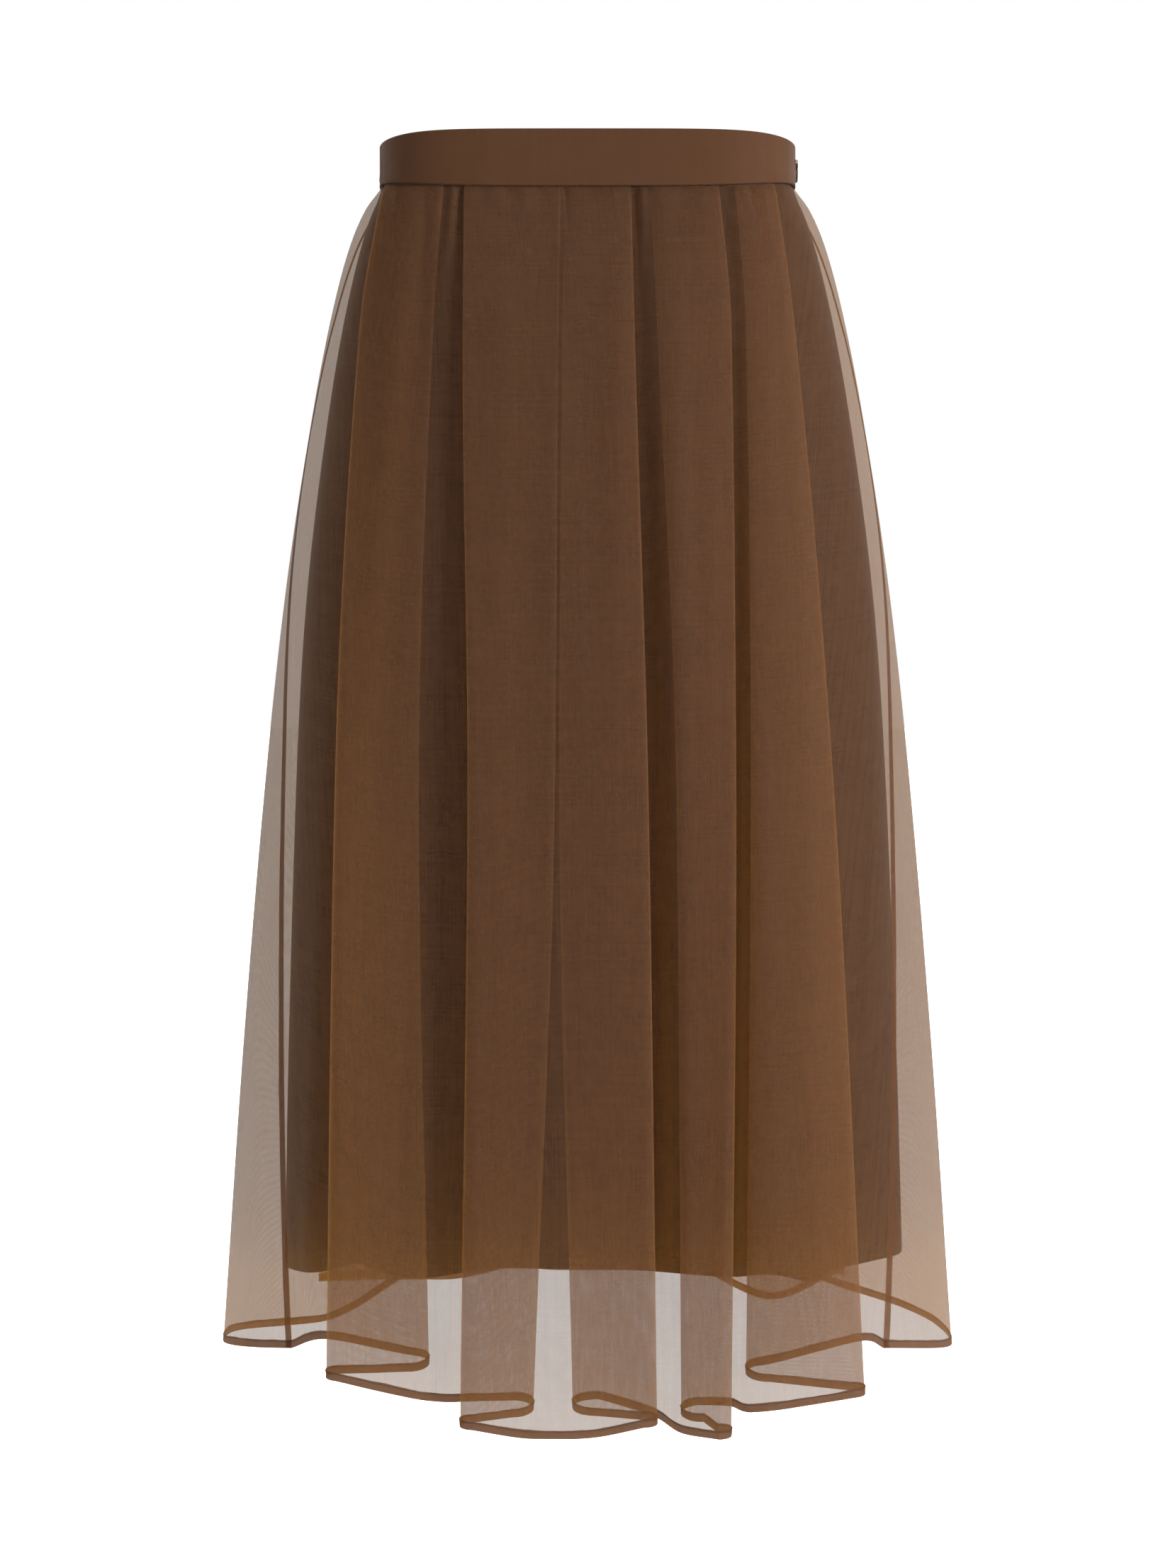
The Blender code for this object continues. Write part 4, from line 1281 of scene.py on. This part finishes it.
# %% Sheer cloth
YARNS = 2400.0  # in a metre of the sheer cloth
MEAN_COVER_PATTERN = 0.81  # of the weave's Cover, over a whole cell
STREAK_COVER = 0.11  # how much the streaks change the cover, as a share of it
CLOUD_COVER = 0.07
MOST_COVER = 0.97
TINT_SPREAD = 0.16  # how much lighter and darker the yarn's own colour gets


def tinted(colour, factor):
    return tuple(part * factor for part in colour)


def mixed(tree, share, first, second):
    """A shader between two others."""
    mix = tree.nodes.new("ShaderNodeMixShader")
    for socket, value in zip(mix.inputs, (share, first.outputs[0], second.outputs[0])):
        feed(tree, socket, value)
    return mix


def sheer(name, cover, lit, through):
    """Yarn that shows its own colour in front light, lit, and glows in back light, through, over
    gaps that are clear. cover: the share that the yarn covers."""
    material, tree, shader, output = new_material(name)
    cloth = weave(tree, YARNS)
    pattern = calc(tree, "DIVIDE", cloth["Cover"], MEAN_COVER_PATTERN)
    streaks = fitted(tree, cloth["Streaks"], 1 - STREAK_COVER, 1 + STREAK_COVER)
    clouds = fitted(tree, cloth["Clouds"], 1 - CLOUD_COVER, 1 + CLOUD_COVER)
    uneven = calc(tree, "MULTIPLY", streaks, clouds)
    covered = calc(tree, "MULTIPLY", calc(tree, "MULTIPLY", pattern, uneven), cover)
    covered = calc(tree, "MINIMUM", covered, MOST_COVER)
    bump = add(tree, "Bump", Strength=0.35, Distance=0.1 * MM, Height=cloth["Yarns"]).outputs["Normal"]
    uneven = calc(tree, "MULTIPLY", cloth["Clouds"], 0.35)
    uneven = calc(tree, "MULTIPLY_ADD", cloth["Grain"], 0.65, uneven)
    colour = two_tints(tree, uneven, tinted(lit, 1 - TINT_SPREAD), tinted(lit, 1 + TINT_SPREAD))
    give(tree, shader, Base_Color=colour, Roughness=0.6, Specular_IOR_Level=0.06)
    give(tree, shader, Sheen_Weight=0.03, Sheen_Roughness=0.5, Normal=bump)
    glow = add(tree, "BsdfTranslucent", Color=(*through, 1), Normal=bump)
    clear = add(tree, "BsdfTransparent")
    yarn = mixed(tree, 0.5, shader, glow)
    give(tree, output, Surface=mixed(tree, covered, clear, yarn).outputs[0])
    return material


SHEER_LIT = (0.196, 0.105, 0.060)
SHEER_THROUGH = (0.57, 0.26, 0.035)
sheer_cloth = sheer("sheer cloth", 0.51, SHEER_LIT, SHEER_THROUGH)
folded_cloth = sheer("sheer cloth folded in a hem", 0.70, SHEER_LIT, SHEER_THROUGH)


# %% Opaque cloths
def opaque(name, light, dark, yarns, roughness, specular, sheen, relief):
    """A closed weave. light and dark: the two ends of its slight unevenness in colour."""
    material, tree, shader, _ = new_material(name)
    cloth = weave(tree, yarns)
    amount = calc(tree, "MULTIPLY", cloth["Clouds"], 0.35)
    amount = calc(tree, "MULTIPLY_ADD", cloth["Streaks"], 0.45, amount)
    amount = calc(tree, "MULTIPLY_ADD", cloth["Grain"], 0.2, amount)
    give(tree, shader, Base_Color=two_tints(tree, amount, dark, light))
    height = calc(tree, "MULTIPLY_ADD", cloth["Streaks"], 0.5, cloth["Yarns"])
    bump = add(tree, "Bump", Strength=0.5, Distance=relief, Height=height)
    worn = fitted(tree, cloth["Streaks"], roughness + 0.08, roughness - 0.08)
    give(tree, shader, Normal=bump.outputs["Normal"], Roughness=worn, Specular_IOR_Level=specular)
    give(tree, shader, Sheen_Weight=sheen, Sheen_Roughness=0.45)
    return material


lining_cloth = opaque(
    "lining cloth", (0.054, 0.024, 0.013), (0.032, 0.014, 0.007),
    yarns=3200, roughness=0.5, specular=0.08, sheen=0.02, relief=0.06 * MM,
)
band_cloth = opaque(
    "waistband cloth", (0.112, 0.049, 0.023), (0.068, 0.030, 0.013),
    yarns=2000, roughness=0.62, specular=0.08, sheen=0.03, relief=0.12 * MM,
)


# %% Thread and horn
def thread(name, light, dark):
    """Twisted thread: the strands show as slanting lines."""
    material, tree, shader, _ = new_material(name)
    place = add(tree, "TexCoord").outputs["Object"]
    strands = add(tree, "TexWave", Vector=place, Scale=900.0)
    strands.bands_direction = "DIAGONAL"
    give(tree, shader, Base_Color=two_tints(tree, strands.outputs["Fac"], dark, light))
    bump = add(tree, "Bump", Strength=0.4, Distance=0.05 * MM, Height=strands.outputs["Fac"])
    give(tree, shader, Normal=bump.outputs["Normal"], Roughness=0.45, Specular_IOR_Level=0.3)
    return material


def horn():
    """Polished dark horn: cloudy bands under a clear gloss."""
    material, tree, shader, _ = new_material("polished horn")
    place = add(tree, "TexCoord").outputs["Object"]
    swirl = add(tree, "TexNoise", Vector=place, Scale=160.0, Detail=4.0, Roughness=0.6, Distortion=1.4)
    tint = two_tints(tree, swirl.outputs["Fac"], (0.012, 0.007, 0.005), (0.075, 0.040, 0.022))
    scuffs = add(tree, "TexNoise", Vector=place, Scale=900.0, Detail=3.0).outputs["Fac"]
    give(tree, shader, Base_Color=tint, Roughness=fitted(tree, scuffs, 0.10, 0.26), IOR=1.54)
    give(tree, shader, Coat_Weight=0.5, Coat_Roughness=0.08)
    return material


seam_thread = thread("sewing thread", (0.085, 0.042, 0.024), (0.040, 0.019, 0.011))
# The waist seam's thread is darker than the sewing thread: painted shade for the shadowed crevice under the
# band's edge.
waist_thread_painted_shade = thread("waist seam thread darkened as painted shade", (0.040, 0.019, 0.011), (0.015, 0.007, 0.004))
polished_horn = horn()

# %% [markdown]
# ## What each piece is
#
# Every piece rides on the skirt's one body and gets its material. The sheets and the button
# hide the solids of the frame that they stand for.

LENGTH = 0.80  # of the overskirt's cut, with its hem and the seam at the waist
SHEETS = table(
    # the sheet, its material, its solid, its slot, width and length of the cut, its area, what is sewn on
    "piece material node slot flat area with_pieces",
    (overskirt_front, sheer_cloth, "overskirt_front", "sheer_cloth", (1.20, LENGTH), 0.75,
     [hem_front, *hem_stitches[:2]]),
    (overskirt_back, sheer_cloth, "overskirt_back", "sheer_cloth", (1.35, LENGTH), 0.88,
     [hem_back, *hem_stitches[2:], *side_seams]),
    (lining_front, lining_cloth, "lining_front", "lining", (0.58, 0.72), 0.35,
     [lining_hems[0], lining_stitches[0]]),
    (lining_back, lining_cloth, "lining_back", "lining", (0.58, 0.72), 0.35,
     [lining_hems[1], lining_stitches[1], *lining_seams]),
    (waistband_front, band_cloth, "waistband_front", "waistband", (0.36, 0.036), None, [waist_stitches[0]]),
    (waistband_back, band_cloth, "waistband_back", "waistband", (0.43, 0.036), None, [waist_stitches[1]]),
)
SEWN_ON = [
    ([hem_front, hem_back, *side_seams], folded_cloth, "sheer_cloth"),
    ([*lining_hems, *lining_seams], lining_cloth, "lining"),
    (hem_stitches, seam_thread, "sheer_cloth"),
    (waist_stitches, waist_thread_painted_shade, "sheer_cloth"),
    (lining_stitches, seam_thread, "lining"),
    ([*button_threads, *buttonhole], seam_thread, "waistband"),
    ([button], polished_horn, "button"),
]


def finish(piece, material):
    piece.data.materials.clear()
    piece.data.materials.append(material)
    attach(piece, "root")


for pieces, material, slot in SEWN_ON:
    for piece in pieces:
        finish(piece, material)
for sheet in SHEETS:
    finish(sheet["piece"], sheet["material"])
    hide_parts(sheet["node"])
    print(sheet["piece"].name, "area now", round(area_of(sheet["piece"]), 3))

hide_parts("button")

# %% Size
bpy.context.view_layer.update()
meshes = [piece.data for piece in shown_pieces() if piece.type == "MESH"]
triangles = sum(len(face.vertices) - 2 for mesh in meshes for face in mesh.polygons)
print("triangles before modifiers:", triangles)
